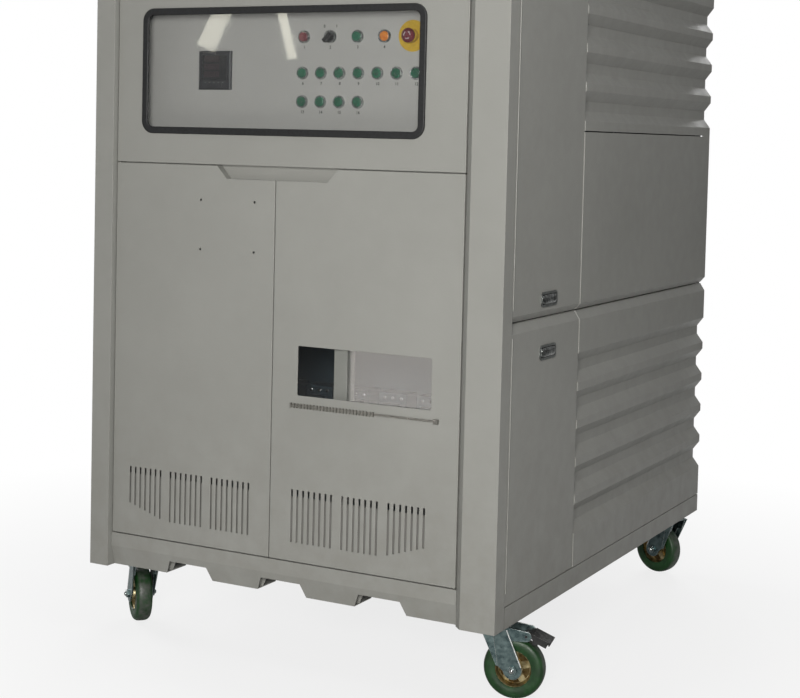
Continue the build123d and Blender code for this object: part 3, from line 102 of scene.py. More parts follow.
def grained(tree, shader, where, lump, depth, normal=None):
    """Raises the surface in grains, lump millimetres apart and depth millimetres at most."""
    sockets = {"Height": mottle(tree, where, lump, 0.0, 1.0, 2.0), "Distance": depth * MM,
               "Strength": 0.7}
    if normal is not None:
        sockets["Normal"] = normal
    raised = add(tree, "ShaderNodeBump", sockets)
    tree.links.new(raised.outputs["Normal"], shader.inputs["Normal"])


def rounded_edges(tree, radius):
    """A normal rounded over each folded edge, radius millimetres, and a mask high along it that marks where a
    highlight is painted.
    """
    soft = add(tree, "ShaderNodeBevel", {"Radius": radius * MM}, samples=4).outputs[0]
    flat = add(tree, "ShaderNodeNewGeometry").outputs["Normal"]
    along = add(tree, "ShaderNodeVectorMath", {0: soft, 1: flat}, operation="DOT_PRODUCT")
    edge_highlight_mask = add(tree, "ShaderNodeMapRange", {"Value": along.outputs["Value"], "From Min": 0.82,
                                            "From Max": 0.995, "To Min": 1.0, "To Max": 0.0})
    return soft, edge_highlight_mask.outputs["Result"]


def surfaced(tree, shader, colour, rough):
    """Links a colour and a roughness to the shader."""
    tree.links.new(colour, shader.inputs["Base Color"])
    tree.links.new(rough, shader.inputs["Roughness"])


# ---- Finishes --------------------------------------------------------------------------------
def powder_coat(name, colour, shade, rough, orange_peel):
    """Polyester powder coat on steel: its orange peel, the lumps orange_peel millimetres apart,
    breaks up the satin sheen; it turns darker towards the bottom in clouds, and a painted
    highlight lightens its edges."""
    made, tree, shader, where = finish(name, base_color=colour, roughness=rough, ior=1.5)
    soft, edge = rounded_edges(tree, 2.0)
    height = add(tree, "ShaderNodeSeparateXYZ", {"Vector": where}).outputs["Z"]
    # Darker towards the bottom: a mask, high low down and broken into clouds, mixes in a darker grey.
    darker_low = add(tree, "ShaderNodeMapRange", {"Value": height, "From Min": 0.15, "From Max": 0.7,
                                            "To Min": 0.3, "To Max": 0.04}).outputs["Result"]
    darker_low = add(tree, "ShaderNodeMath", {0: darker_low, 1: mottle(tree, where, 55.0, 0.0, 1.0, 8.0)},
               operation="MULTIPLY").outputs[0]
    # Painted highlight: along the edges the paint is mixed towards a paler grey.
    painted_edge_highlight = add(tree, "ShaderNodeMath", {0: edge, 1: mottle(tree, where, 25.0, 0.05, 0.35)},
                 operation="MULTIPLY").outputs[0]
    paint = clouded(tree, where, 420.0, colour, shade)
    paint = add(tree, "ShaderNodeMix", {0: darker_low, 6: paint, 7: "#6f6c64"},
                data_type="RGBA").outputs[2]
    paint = add(tree, "ShaderNodeMix", {0: painted_edge_highlight, 6: paint, 7: "#aaa9a4"},
                data_type="RGBA").outputs[2]
    surfaced(tree, shader, paint, mottle(tree, where, 45.0, rough - 0.05, rough + 0.06))
    grained(tree, shader, where, orange_peel, 0.1, soft)
    return made


def galvanised_steel():
    """Hot-dip galvanised sheet: dull zinc crystals about 12 mm across, each its own grey."""
    made, tree, shader, where = finish("galvanised_steel", metallic=1.0)
    crystals = add(tree, "ShaderNodeTexVoronoi", {"Vector": where, "Scale": 1 / (12 * MM)})
    tone = add(tree, "ShaderNodeSeparateColor", {"Color": crystals.outputs["Color"]})
    zinc = add(tree, "ShaderNodeMix", {0: tone.outputs[0], 6: "#74767a", 7: "#9a9c9d"},
               data_type="RGBA").outputs[2]
    tree.links.new(zinc, shader.inputs["Base Color"])
    rough = add(tree, "ShaderNodeMapRange", {"Value": tone.outputs[1], "To Min": 0.35,
                                             "To Max": 0.6})
    tree.links.new(rough.outputs["Result"], shader.inputs["Roughness"])
    grained(tree, shader, where, 12.0, 0.02)
    return made


def zinc_plating():
    """Bright zinc plate: blue-green passivation lies in clouds, and a near-white painted highlight runs along its
    edges.
    """
    made, tree, shader, where = finish("blue_passivated_zinc", metallic=1.0)
    soft, edge = rounded_edges(tree, 1.4)
    plate = clouded(tree, where, 14.0, "#56686a", "#7c8d8d", 6.0)
    # Painted highlight: near-white along the edges.
    plate = add(tree, "ShaderNodeMix", {0: edge, 6: plate, 7: "#eef2f0"},
                data_type="RGBA").outputs[2]
    surfaced(tree, shader, plate, mottle(tree, where, 14.0, 0.26, 0.46))
    grained(tree, shader, where, 11.0, 0.06, soft)
    return made


def drawn_steel():
    """Cold-drawn steel: lines along the bar, 0.8 mm apart so that they show."""
    made, tree, shader, where = finish("drawn_steel", metallic=1.0)
    along = add(tree, "ShaderNodeMapping", {"Vector": where, "Scale": (0.05, 1.0, 1.0)})
    surfaced(tree, shader, clouded(tree, along.outputs["Vector"], 0.8, "#6d6c68", "#a3a29c"),
             mottle(tree, where, 9.0, 0.26, 0.42))
    return made


def chrome_plate(name, dull, bright, rough, hazed):
    """Chrome plate on a casting: a mirror with patches of haze from handling."""
    made, tree, shader, where = finish(name, metallic=1.0)
    surfaced(tree, shader, clouded(tree, where, 8.0, dull, bright),
             mottle(tree, where, 6.0, rough, rough + hazed))
    return made


def epdm_rubber():
    """Extruded EPDM: nearly black with a soft sheen, greyed by dust in its pores."""
    made, tree, shader, where = finish("epdm_rubber", ior=1.52)
    surfaced(tree, shader, clouded(tree, where, 6.0, "#0a0a0b", "#161719", 6.0),
             mottle(tree, where, 9.0, 0.45, 0.65))
    grained(tree, shader, where, 1.2, 0.06)
    return made


def clear_sheet():
    """Cast acrylic sheet: clear, with sharp reflections and faint wiping marks.

    Light goes through it to what is behind, a little weaker, as through two surfaces of the sheet.
    """
    made, tree, shader, where = finish("acrylic_sheet", base_color="#f2f4f3", ior=1.49,
                                       transmission_weight=1.0)
    tree.links.new(mottle(tree, where, 60.0, 0.01, 0.04, 5.0), shader.inputs["Roughness"])
    clear = add(tree, "ShaderNodeBsdfTransparent", {"Color": "#f7f7f7"})
    path = add(tree, "ShaderNodeLightPath")
    through = add(tree, "ShaderNodeMath", {0: path.outputs["Is Shadow Ray"],
                                           1: path.outputs["Is Diffuse Ray"]}, operation="MAXIMUM")
    either = add(tree, "ShaderNodeMixShader", {0: through.outputs[0],
                                               1: shader.outputs["BSDF"],
                                               2: clear.outputs["BSDF"]})
    tree.links.new(either.outputs["Shader"], tree.nodes["Material Output"].inputs["Surface"])
    return made


def moulded_plastic(name, colour, shade, rough, grain, coat=0.0):
    """Injection-moulded plastic with a spark-eroded grain, grain millimetres coarse."""
    made, tree, shader, where = finish(name, ior=1.49, coat_weight=coat)
    surfaced(tree, shader, clouded(tree, where, 12.0, colour, shade),
             mottle(tree, where, 7.0, rough - 0.05, rough + 0.08))
    grained(tree, shader, where, grain, 0.04)
    return made


def lamp_lenses():
    """Moulded polycarbonate lenses: sea green, and amber in the upper row, with 2 mm ribs."""
    # emission_strength 0.04 gives the lenses a faint painted glow in their own colour.
    made, tree, shader, where = finish("moulded_lens", ior=1.58, coat_weight=0.5,
                                       roughness=0.2, emission_strength=0.04)
    height = add(tree, "ShaderNodeSeparateXYZ", {"Vector": where}).outputs["Z"]
    divide = float(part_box("pilot_lamps")[1][2]) - LENS * MM
    upper = add(tree, "ShaderNodeMath", {0: height, 1: divide},
                operation="GREATER_THAN").outputs[0]
    green = clouded(tree, where, 9.0, "#083f2b", "#125a40")
    amber = clouded(tree, where, 9.0, "#a8540a", "#c97a22")
    colour = add(tree, "ShaderNodeMix", {0: upper, 6: green, 7: amber},
                 data_type="RGBA").outputs[2]
    tree.links.new(colour, shader.inputs["Base Color"])
    tree.links.new(colour, shader.inputs["Emission Color"])
    ribs = add(tree, "ShaderNodeTexWave", {"Vector": where, "Scale": 0.1 / (2 * MM)})
    raised = add(tree, "ShaderNodeBump", {"Height": ribs.outputs["Fac"], "Distance": 0.15 * MM})
    tree.links.new(raised.outputs["Normal"], shader.inputs["Normal"])
    return made


def cast_polyurethane():
    """Cast polyurethane tyre: dark green and glossy at the sides, grey with dirt on the tread."""
    made, tree, shader, where = finish("cast_polyurethane", ior=1.5)
    body = clouded(tree, where, 22.0, "#0b2c0e", "#153d17")
    dirt = mottle(tree, where, 16.0, 0.1, 0.95, 7.0)
    position = add(tree, "ShaderNodeAttribute", attribute_name="tread").outputs["Fac"]
    worn = add(tree, "ShaderNodeMath", {0: dirt, 1: position}, operation="MULTIPLY").outputs[0]
    body = add(tree, "ShaderNodeMix", {0: worn, 6: body, 7: "#4a4c48"},
               data_type="RGBA").outputs[2]
    surfaced(tree, shader, body, mottle(tree, where, 12.0, 0.35, 0.55))
    grained(tree, shader, where, 3.0, 0.12)
    return made


def gold_passivated_casting(name, dull, bright):
    """Cast hub with pale gold passivation that clouds to brown, finely sand-grained."""
    made, tree, shader, where = finish(name, metallic=1.0)
    surfaced(tree, shader, clouded(tree, where, 16.0, dull, bright),
             mottle(tree, where, 5.0, 0.28, 0.5))
    grained(tree, shader, where, 1.6, 0.1)
    return made


def black_enamel():
    """Black stoved enamel, painted lighter grey along its edges as a highlight."""
    made, tree, shader, where = finish("black_enamel", ior=1.5)
    soft, edge = rounded_edges(tree, 1.0)
    enamel = clouded(tree, where, 10.0, "#0f0f10", "#1d1d1d", 7.0)
    # Painted highlight: grey along the edges.
    enamel = add(tree, "ShaderNodeMix", {0: edge, 6: enamel, 7: "#434240"},
                 data_type="RGBA").outputs[2]
    surfaced(tree, shader, enamel, mottle(tree, where, 8.0, 0.3, 0.55))
    grained(tree, shader, where, 2.0, 0.06, soft)
    return made


def bare_copper():
    """Rolled copper bar, tarnished brown between bright handling marks."""
    made, tree, shader, where = finish("bare_copper", metallic=1.0)
    surfaced(tree, shader, clouded(tree, where, 30.0, "#7e4a2e", "#cf8e62", 6.0),
             mottle(tree, where, 20.0, 0.25, 0.5))
    return made


def heater_sheath():
    """Stainless sheath and fins, browned and blued by heat in bands along the tube."""
    made, tree, shader, where = finish("heated_stainless", metallic=1.0)
    surfaced(tree, shader, clouded(tree, where, 70.0, "#6b655c", "#8b8f98", 5.0),
             mottle(tree, where, 40.0, 0.3, 0.5))
    return made


def display_glass():
    """Smoked acrylic of the meter's display: nearly black, with a blue cast and sharp gloss."""
    made, tree, shader, where = finish("smoked_acrylic", ior=1.49, coat_weight=0.3)
    surfaced(tree, shader, clouded(tree, where, 18.0, "#0c0d10", "#15161b"),
             mottle(tree, where, 14.0, 0.08, 0.18))
    return made


def plain_tone(name, first, second, lump, ior, rough):
    """Dull dielectric whose colour varies a little: ink, unlit figures, the bottom of a seam."""
    made, tree, shader, where = finish(name, ior=ior, roughness=rough)
    tree.links.new(clouded(tree, where, lump, first, second), shader.inputs["Base Color"])
    return made


LENS = 24.0                # diameter of a pilot lamp's lens
finishes = {
    "cabinet_paint": powder_coat("powder_coat_grey", "#8e8e8a", "#898985", 0.45, 5.0),
    # The panel grey is paler than the cabinet grey to paint in the light the pane reflects over the panel.
    "panel_paint": powder_coat("powder_coat_panel", "#9e9d9b", "#9a9997", 0.5, 3.0),
    "galvanised_sheet": galvanised_steel(),
    "gasket_rubber": epdm_rubber(),
    "clear_pane": clear_sheet(),
    "bright_steel": drawn_steel(),
    "meter_plastic": moulded_plastic("abs_black", "#1a1b1e", "#222327", 0.4, 1.5),
    "bezel_chrome": chrome_plate("bezel_chrome", "#8f9393", "#cfd1d0", 0.1, 0.12),
    "lamp_lens": lamp_lenses(),
    "red_plastic": moulded_plastic("abs_red", "#651826", "#54121d", 0.3, 1.5, 0.3),
    "green_plastic": moulded_plastic("abs_green", "#0f4a35", "#155c43", 0.3, 1.5, 0.3),
    "black_plastic": moulded_plastic("nylon_black", "#101010", "#181818", 0.35, 1.5),
    "yellow_plastic": moulded_plastic("abs_yellow", "#bb9a26", "#a8881c", 0.4, 1.5),
    "motor_paint": powder_coat("machine_enamel", "#3f4a55", "#37424c", 0.4, 3.0),
    "fan_plastic": moulded_plastic("glass_filled_nylon", "#1e1f20", "#2b2d2e", 0.55, 2.5),
    "sheath_steel": heater_sheath(),
    "contactor_plastic": moulded_plastic("polyamide_blue", "#25323a", "#1b272e", 0.45, 1.5),
    "busbar_copper": bare_copper(),
    "zinc_plate": zinc_plating(),
    "tyre_green": cast_polyurethane(),
    "hub_gold": gold_passivated_casting("gold_passivated_casting", "#80704c", "#cfc198"),
    "pedal_black": black_enamel(),
    "latch_chrome": chrome_plate("satin_chrome", "#6f7270", "#8e918f", 0.38, 0.12),
    "latch_black": chrome_plate("smoked_chrome", "#4a4d4c", "#9da09e", 0.2, 0.12),
}
ink = plain_tone("screen_ink", "#161719", "#26272a", 1.5, 1.45, 0.6)
glass = display_glass()
segments = plain_tone("unlit_segments", "#39282a", "#463235", 4.0, 1.49, 0.35)
dark_seam = plain_tone("seam_gap", "#2a2a28", "#3d3c39", 5.0, 1.45, 0.8)
# Darker copy of the hub finish: painted shade for the pockets between the spokes.
hub_shadow = gold_passivated_casting("hub_casting_painted_shade", "#4a3b24", "#7d6a45")
# Near-white zinc for the legs' edge beads: a painted highlight along each sheared edge.
zinc_edge_highlight = chrome_plate("zinc_painted_highlight", "#d5d8d7", "#f2f3f2", 0.38, 0.1)
# Darker grey for the vent filters: painted shade seen through the slots.
baffle_paint_painted_shade = powder_coat("powder_coat_baffle_painted_shade", "#6b6a67", "#656461", 0.55, 5.0)


# ---- Surfaces worked out with numpy ----------------------------------------------------------
def grid_faces(copies, rows, columns):
    """Quads of several grids stored one after another, turned so that normals point outwards."""
    first = np.arange(rows * columns).reshape(rows, columns)
    quads = np.stack([first[:-1, :-1], first[:-1, 1:], first[1:, 1:], first[1:, :-1]], axis=-1)
    steps = np.arange(copies)[:, None, None] * rows * columns
    return (quads.reshape(1, -1, 4) + steps).reshape(-1, 4)


def piece(name, grids, slot, body, made=None, crease=35.0, values=None):
    """One object from grids of points shaped (copies, rows, columns, xyz), in metres.

    Points that coincide are merged, which closes seams and poles, and quads that lose a corner
    there become triangles. The finish is made, or else that of the slot. values are one number a
    point, kept as an attribute named tread.
    """
    copies, rows, columns, _ = grids.shape
    points = grids.reshape(-1, 3)
    _, keep, index = np.unique(np.round(points / (0.001 * MM)).astype(np.int64), axis=0,
                               return_index=True, return_inverse=True)
    quads = index.reshape(-1)[grid_faces(copies, rows, columns)]
    same = quads == np.roll(quads, -1, axis=1)
    whole = quads[~same.any(axis=1)].tolist()
    pointed = quads[same.sum(axis=1) == 1]
    lost = same[same.sum(axis=1) == 1].argmax(axis=1)
    turn = (lost[:, None] + np.arange(1, 4)) % 4
    mesh = bpy.data.meshes.new(name)
    mesh.from_pydata(points[keep].tolist(), [],
                     whole + np.take_along_axis(pointed, turn, axis=1).tolist())
    if values is not None:
        layer = mesh.attributes.new("tread", "FLOAT", "POINT")
        layer.data.foreach_set("value", np.asarray(values, dtype=np.float32).reshape(-1)[keep])
    shell = bmesh.new()
    shell.from_mesh(mesh)
    bmesh.ops.recalc_face_normals(shell, faces=shell.faces)
    shell.to_mesh(mesh)
    shell.free()
    mesh.shade_smooth()
    mesh.set_sharp_from_angle(angle=math.radians(crease))
    mesh.materials.append(made or finishes[slot])
    made_object = bpy.data.objects.new(name, mesh)
    bpy.context.scene.collection.objects.link(made_object)
    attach(made_object, body)
    return made_object


def placed(local, centres, axis):
    """Copies of a local grid (across, up, along) set at each centre with along on the axis."""
    along = np.asarray(axis, dtype=float)
    along /= np.linalg.norm(along)
    helper = np.array((0.0, 0.0, 1.0)) if abs(along[2]) < 0.9 else np.array((0.0, 1.0, 0.0))
    across = np.cross(helper, along)
    across /= np.linalg.norm(across)
    frame_axes = np.stack([across, np.cross(along, across), along])
    moved = np.asarray(local) * MM @ frame_axes
    return np.asarray(centres, dtype=float)[:, None, None, :] + moved[None]


def stacked(outline, layers):
    """Closed outline of (across, up) points lofted through layers of (scale, height).

    Point (i, j) is outline[j] times the scale of layer i, at the height of layer i, in
    millimetres. A layer of scale 0 closes the form with a pole.
    """
    ring = np.asarray(outline, dtype=float)
    ring = np.concatenate([ring, ring[:1]])
    scale, height = np.asarray(layers, dtype=float).T
    flat = scale[:, None, None] * ring[None]
    tall = np.broadcast_to(height[:, None, None], (*flat.shape[:2], 1))
    return np.concatenate([flat, tall], axis=-1)


def circle(sides, turn=0.0):
    """Unit circle as a closed outline: (cos t, sin t) at equal steps of t."""
    t = np.linspace(0, 2 * math.pi, sides, endpoint=False) + turn
    return np.stack([np.cos(t), np.sin(t)], axis=-1)


def cross_recess_screw(radius, height, sides=40):
    """Pan-head screw with a cross recess: a dome whose height drops inside a four-armed cross.

    The radius at (i, j) is the head's radius times sin of i, the height is its cosine, and the
    recess takes 45 per cent of it where the point lies within a fifth of the cross's axes.
    """
    steps = np.linspace(0.0, math.pi / 2, 13)[:, None]
    t = np.linspace(0, 2 * math.pi, sides + 1)[None, :]
    r = np.sin(steps[::-1])
    u, v = r * np.cos(t), r * np.sin(t)
    dome = height * np.sqrt(np.maximum(0.0, 1.0 - 0.86 * r ** 2))
    inside = (np.minimum(abs(u), abs(v)) < 0.2) & (np.maximum(abs(u), abs(v)) < 0.62)
    top = np.where(inside, dome - 0.45 * height, dome)
    skirt = np.stack([radius * u[:1], radius * v[:1], 0 * u[:1]], axis=-1)
    base = np.zeros_like(skirt)
    return np.concatenate([base, skirt, np.stack([radius * u, radius * v, top], axis=-1)])


def wire(path, radius, sides=8):
    """Round wire: a circle of the given radius carried along a closed path of points.

    At path point i the circle lies in the plane of the outward direction and the path's own
    normal, which for a flat ring is its axis.
    """
    path = np.asarray(path, dtype=float)
    ahead = np.roll(path[:-1], -1, axis=0) - np.roll(path[:-1], 1, axis=0)
    ahead = np.concatenate([ahead, ahead[:1]])
    ahead /= np.linalg.norm(ahead, axis=1)[:, None]
    axis = np.array((1.0, 0.0, 0.0))
    outward = np.cross(ahead, axis)
    t = np.linspace(0, 2 * math.pi, sides + 1)[None, :, None]
    return path[:, None] + radius * (np.cos(t) * outward[:, None] + np.sin(t) * axis)


def in_mm(box):
    """Low and high corners of a node's box, in millimetres."""
    return [np.array(corner) / MM for corner in box]


def centre(name):
    """Middle of a carried-over node's box, in metres."""
    low, high = (np.array(corner, dtype=float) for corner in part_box(name))
    return (low + high) / 2


def dress_frame():
    """Gives every carried-over node the finish of its slot in the record."""
    for row in record["subparts"]:
        mesh = nodes[row["node"]].data
        mesh.materials.clear()
        mesh.materials.append(finishes[row["material_slot"]])


# ---- Instrument panel ------------------------------------------------------------------------
LAMP_PITCH = 51.7
LAMP_ROWS = 69.0           # height between the two rows of green lamps
LAMP_COUNTS = (7, 4)
NUMBER_SIZE = 10.0
NUMBER_DROP = 25.0         # numbers below the middle of their device
PANEL_SET_BACK = 6.0       # panel sheet behind the front of the lamp bezels
ESTOP_PLACE = 4            # place of the emergency stop among the devices
SELECTOR_MARK = (17, 22)   # its two figures beside and above the selector's middle
METER_DEPTH = 9.0          # meter frame in front of the panel sheet
DISPLAY_SUNK = 3.0         # display behind the front of that frame
DISPLAY_RISE = 6.0         # display above the middle of the meter
DISPLAY_INSET = (10.3, 16.3)
DIGIT_ROWS = 19.0          # height between two rows of figures
METER_KEYS = (13.0, 18.0)  # pitch of the key marks, and their height over the meter's foot
ARROW_RADIUS = 8.2         # middle of the arrows on the emergency stop's dome
ARROW_TURN = 0.22          # part of a full turn that one arrow takes up
RIM_RADIUS = 13.9
PANEL_SCREW_INSET = (62, 12)
TOP_ROW = ("red_button", "selector_knob", "green_button", "estop_button")


def device_places():
    """Middles (x, z) of the panel's devices, row by row, in metres."""
    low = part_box("pilot_lamps")[0]
    top = centre("red_button")[2]
    row = [(centre(name)[0], top) for name in TOP_ROW]
    row.insert(3, (row[2][0] + row[1][0] - row[0][0], top))
    first = low[0] + LENS / 2 * MM
    bottom = low[2] + LENS / 2 * MM
    for count, rise in zip(LAMP_COUNTS, (LAMP_ROWS, 0.0)):
        row += [(first + i * LAMP_PITCH * MM, bottom + rise * MM) for i in range(count)]
    return row


def printed_text(name, labels, size, y):
    """Plain printed figures: each label (text, x, z) is set flat on the plane y, facing front."""
    whole = bmesh.new()
    for text, x, z in labels:
        curve = bpy.data.curves.new(name, "FONT")
        curve.body = text
        curve.size = size * MM
        curve.align_x = "CENTER"
        curve.extrude = 0.05 * MM
        curve.offset = 0.22 * MM
        curve.resolution_u = 3
        letter = bpy.data.objects.new(name, curve)
        flat = bpy.data.meshes.new_from_object(letter)
        flat.transform(Matrix.Translation((x, y, z)) @ Matrix.Rotation(math.pi / 2, 4, "X"))
        whole.from_mesh(flat)
        bpy.data.objects.remove(letter)
    bmesh.ops.remove_doubles(whole, verts=whole.verts, dist=0.0005 * MM)
    mesh = bpy.data.meshes.new(name)
    whole.to_mesh(mesh)
    mesh.materials.append(ink)
    printed = bpy.data.objects.new(name, mesh)
    bpy.context.scene.collection.objects.link(printed)
    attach(printed, "cabinet")


def panel_face():
    """Place along Y of the instrument panel's front sheet."""
    return float(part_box("lamp_bezels")[0][1]) + PANEL_SET_BACK * MM


def device_numbers():
    """Plain numbers under the devices from the upper left, and 0 and 1 beside the selector.

    The emergency stop counts as a device but carries no number.
    """
    places = device_places()
    labels = [(str(i + 1), x, z - NUMBER_DROP * MM - NUMBER_SIZE * 0.35 * MM)
              for i, (x, z) in enumerate(places) if i != ESTOP_PLACE]
    printed_text("device_numbers", labels, NUMBER_SIZE, panel_face() - 0.1 * MM)
    x, z = places[1]
    beside, above = SELECTOR_MARK
    marks = [("0", x - beside * MM, z + above * MM), ("1", x + beside * MM, z + above * MM)]
    printed_text("selector_numbers", marks, NUMBER_SIZE, panel_face() - 0.1 * MM)


def plates(outlines, middles, low, high, place):
    """Thin plates facing front: each flat outline lofted from low to high about its middle."""
    grids = []
    for outline, middle in zip(outlines, middles):
        plate = stacked(outline - middle, [(0, low), (1, low), (1, high), (0, high)])
        plate[..., :2] += middle
        grids.append(placed(plate, [place], (0, -1, 0))[0])
    return np.stack(grids)


def digit_outlines(text, x, z, height):
    """Hexagonal bars of seven-segment figures, as (copies, 6 points, across and up).

    Each bar is a hexagon six times as long as wide, laid along a side of the figure's box.
    """
    lit = {"0": "abcdef", "1": "bc", "3": "abcdg", "5": "acdfg", "8": "abcdefg"}
    half, width = height / 2, height * 0.55
    bars = {"a": (0, half, 0), "g": (0, 0, 0), "d": (0, -half, 0), "f": (-width / 2, half / 2, 1),
            "b": (width / 2, half / 2, 1), "e": (-width / 2, -half / 2, 1),
            "c": (width / 2, -half / 2, 1)}
    long, thick = width * 0.42, height * 0.05
    bar = np.array([(-long, 0), (-long + thick, -thick), (long - thick, -thick), (long, 0),
                    (long - thick, thick), (-long + thick, thick)])
    shapes = []
    for i, figure in enumerate(text):
        for key in lit[figure]:
            u, v, upright = bars[key]
            turned = bar[:, ::-1] * (-1, 1) if upright else bar
            shapes.append(turned + (x + i * width * 1.75 + u, z + v))
    return shapes


def meter_face():
    """Smoked display in the meter's frame with three rows of unlit figures and five key marks."""
    low, high = in_mm(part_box("digital_meter"))
    x, z, half = (low[0] + high[0]) / 2, (low[2] + high[2]) / 2, (high[0] - low[0]) / 2
    front = panel_face() / MM - METER_DEPTH + DISPLAY_SUNK
    place = (x * MM, front * MM, (z + DISPLAY_RISE) * MM)
    corners = np.array([(-1, -1), (1, -1), (1, 1), (-1, 1)])
    pane = stacked(corners * [half - inset for inset in DISPLAY_INSET],
                   [(0, -0.5), (1, -0.5), (1, 0.6), (0, 0.6)])
    piece("meter_display", placed(pane, [place], (0, -1, 0)), "meter_plastic", "cabinet",
          made=glass)
    outlines = []
    for row in range(3):
        outlines += digit_outlines("8888", -26.0, 22.0 - row * DIGIT_ROWS, 12.0)
    middles = [outline.mean(axis=0) for outline in outlines]
    piece("meter_figures", plates(outlines, middles, 0.4, 0.8, place), "meter_plastic", "cabinet",
          made=segments)
    key = stacked(circle(3, math.pi / 2), [(0, 0.0), (1.6, 0.0), (1.6, 0.2), (0, 0.2)])
    pitch, rise = METER_KEYS
    keys = [((x + step * pitch) * MM, (front - DISPLAY_SUNK) * MM, (z - half + rise) * MM)
            for step in range(-2, 3)]
    piece("meter_key_marks", placed(key, keys, (0, -1, 0)), "panel_paint", "cabinet")


def estop_arrows():
    """Three white arrows that circle the emergency stop's dome.

    Arrow k is a band between two radii over 79 degrees of t, narrowing to a point at its end.
    """
    head = centre("estop_button")
    front = float(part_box("estop_button")[0][1])
    t = np.linspace(0, 1, 19)
    outlines = []
    for k in range(3):
        angle = 2 * math.pi * (k / 3 + t * ARROW_TURN)
        ray = np.stack([np.cos(angle), np.sin(angle)], axis=-1)
        half = np.where(t < 0.6, 1.1, 2.6 * (1 - t) / 0.4)
        outlines.append(np.concatenate([((ARROW_RADIUS - half)[:, None] * ray)[::-1],
                                        (ARROW_RADIUS + half)[:, None] * ray]))
    middles = [outline[len(t) // 2] for outline in outlines]
    place = (head[0], front + 0.75 * MM, head[2])
    piece("estop_arrows", plates(outlines, middles, -0.6, 0.15, place), "panel_paint",
          "estop_button")


def lamp_rims():
    """Knurled chrome clamping ring round each lamp and button: a torus with 36 shallow flutes.

    The ring's radius is 13.9 mm plus 0.35 mm times the cosine of 36 t. Its section is an ellipse
    with half axes of 1.25 and 1 mm, 6 mm in front of the panel sheet.
    """
    t = np.linspace(0, 2 * math.pi, 145)[None, :]
    s = np.linspace(0, 2 * math.pi, 9)[:, None]
    ring = RIM_RADIUS + 0.35 * np.cos(36 * t) + 1.25 * np.cos(s)
    local = np.stack([ring * np.cos(t), ring * np.sin(t), 6.0 + 1.0 * np.sin(s) + 0 * t], axis=-1)
    centres = [(x, panel_face(), z) for i, (x, z) in enumerate(device_places())
               if i != ESTOP_PLACE]
    piece("bezel_rings", placed(local, centres, (0, -1, 0)), "bezel_chrome", "cabinet")


def panel_screws():
    """Cross-recess screws that hold the instrument panel's corner tabs and its face."""
    low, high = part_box("instrument_panel")
    y = panel_face()
    side, edge = (inset * MM for inset in PANEL_SCREW_INSET)
    places = [(x, y, z) for x in (low[0] + side, high[0] - side)
              for z in (low[2] + edge, centre("instrument_panel")[2], high[2] - edge)]
    piece("panel_screws", placed(cross_recess_screw(3.6, 2.2), places, (0, -1, 0)), "bezel_chrome",
          "cabinet")


# ---- Doors and covers ------------------------------------------------------------------------
DOOR_BACK = -700.6         # back edge of the front doors
POST_FACE = 52             # width of a corner post
BASE_HEIGHT = 50
FOLD_MARGIN = 30.0         # bead of a folded edge short of the door's ends
GRIP_HALF = (42.0, 11.6)
FILTER_SPANS = {"left_door": (-487.0, -96.0), "right_door": (16.0, 408.0)}
FILTER_FOOT = 40.0
FILTER_HEIGHT = 117.0
FILTER_FACES = (4.6, 6.6)  # front and back of the filter behind the door's face
PLEAT_PITCH = 5.2


def track_screws():
    """Small screw at the right-hand end of the toothed track under the inspection window."""
    low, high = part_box("window_track")
    z = centre("window_track")[2]
    y = float(low[1]) + 2.5 * MM
    places = [(high[0] - 6.0 * MM, y, z)]
    piece("track_screws", placed(cross_recess_screw(3.4, 1.9), places, (0, -1, 0)), "bright_steel",
          "right_door")


def rear_cover_screws():
    """Pan-head screws round the rear cover, evenly spaced along its edges."""
    low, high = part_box("rear_panel")
    inset = 14.0 * MM
    xs = np.linspace(low[0] + inset, high[0] - inset, 5)
    zs = np.linspace(low[2] + inset, high[2] - inset, 8)
    places = [(x, high[1], z) for x in (xs[0], xs[-1]) for z in zs]
    places += [(x, high[1], z) for x in xs[1:-1] for z in (zs[0], zs[-1])]
    piece("rear_cover_screws", placed(cross_recess_screw(6.0, 3.4), places, (0, 1, 0)),
          "bright_steel", "cabinet")


def seam_lines():
    """Fine open seams where the roof tray and the base meet the posts at the sides.

    Each seam is a thin closed bar: a rectangle lofted along the seam.
    """
    low, high = (np.array(corner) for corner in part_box("cabinet_frame"))
    roof = float(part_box("roof_panel")[0][2])
    width, depth = 0.35 * MM, 0.12 * MM
    bars = []
    for x in (low[0], high[0]):
        bars.append(((x - depth, low[1] + MM, roof - width),
                     (x + depth, high[1] - MM, roof + width)))
    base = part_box("base_frame")
    post = low[1] + POST_FACE * MM
    for x in (low[0], high[0]):
        bars.append(((x - depth, post - width, base[0][2]),
                     (x + depth, post + width, base[0][2] + BASE_HEIGHT * MM)))
    grids = []
    for start, end in bars:
        (x0, y0, z0), (x1, y1, z1) = start, end
        ring = [(x0, y0), (x1, y0), (x1, y1), (x0, y1), (x0, y0)]
        middle = ((x0 + x1) / 2, (y0 + y1) / 2)
        rows = [[(*middle, z0)] * 5, [(*p, z0) for p in ring], [(*p, z1) for p in ring],
                [(*middle, z1)] * 5]
        grids.append(np.array(rows))
    piece("seam_lines", np.stack(grids), "gasket_rubber", "cabinet", made=dark_seam, crease=20.0)


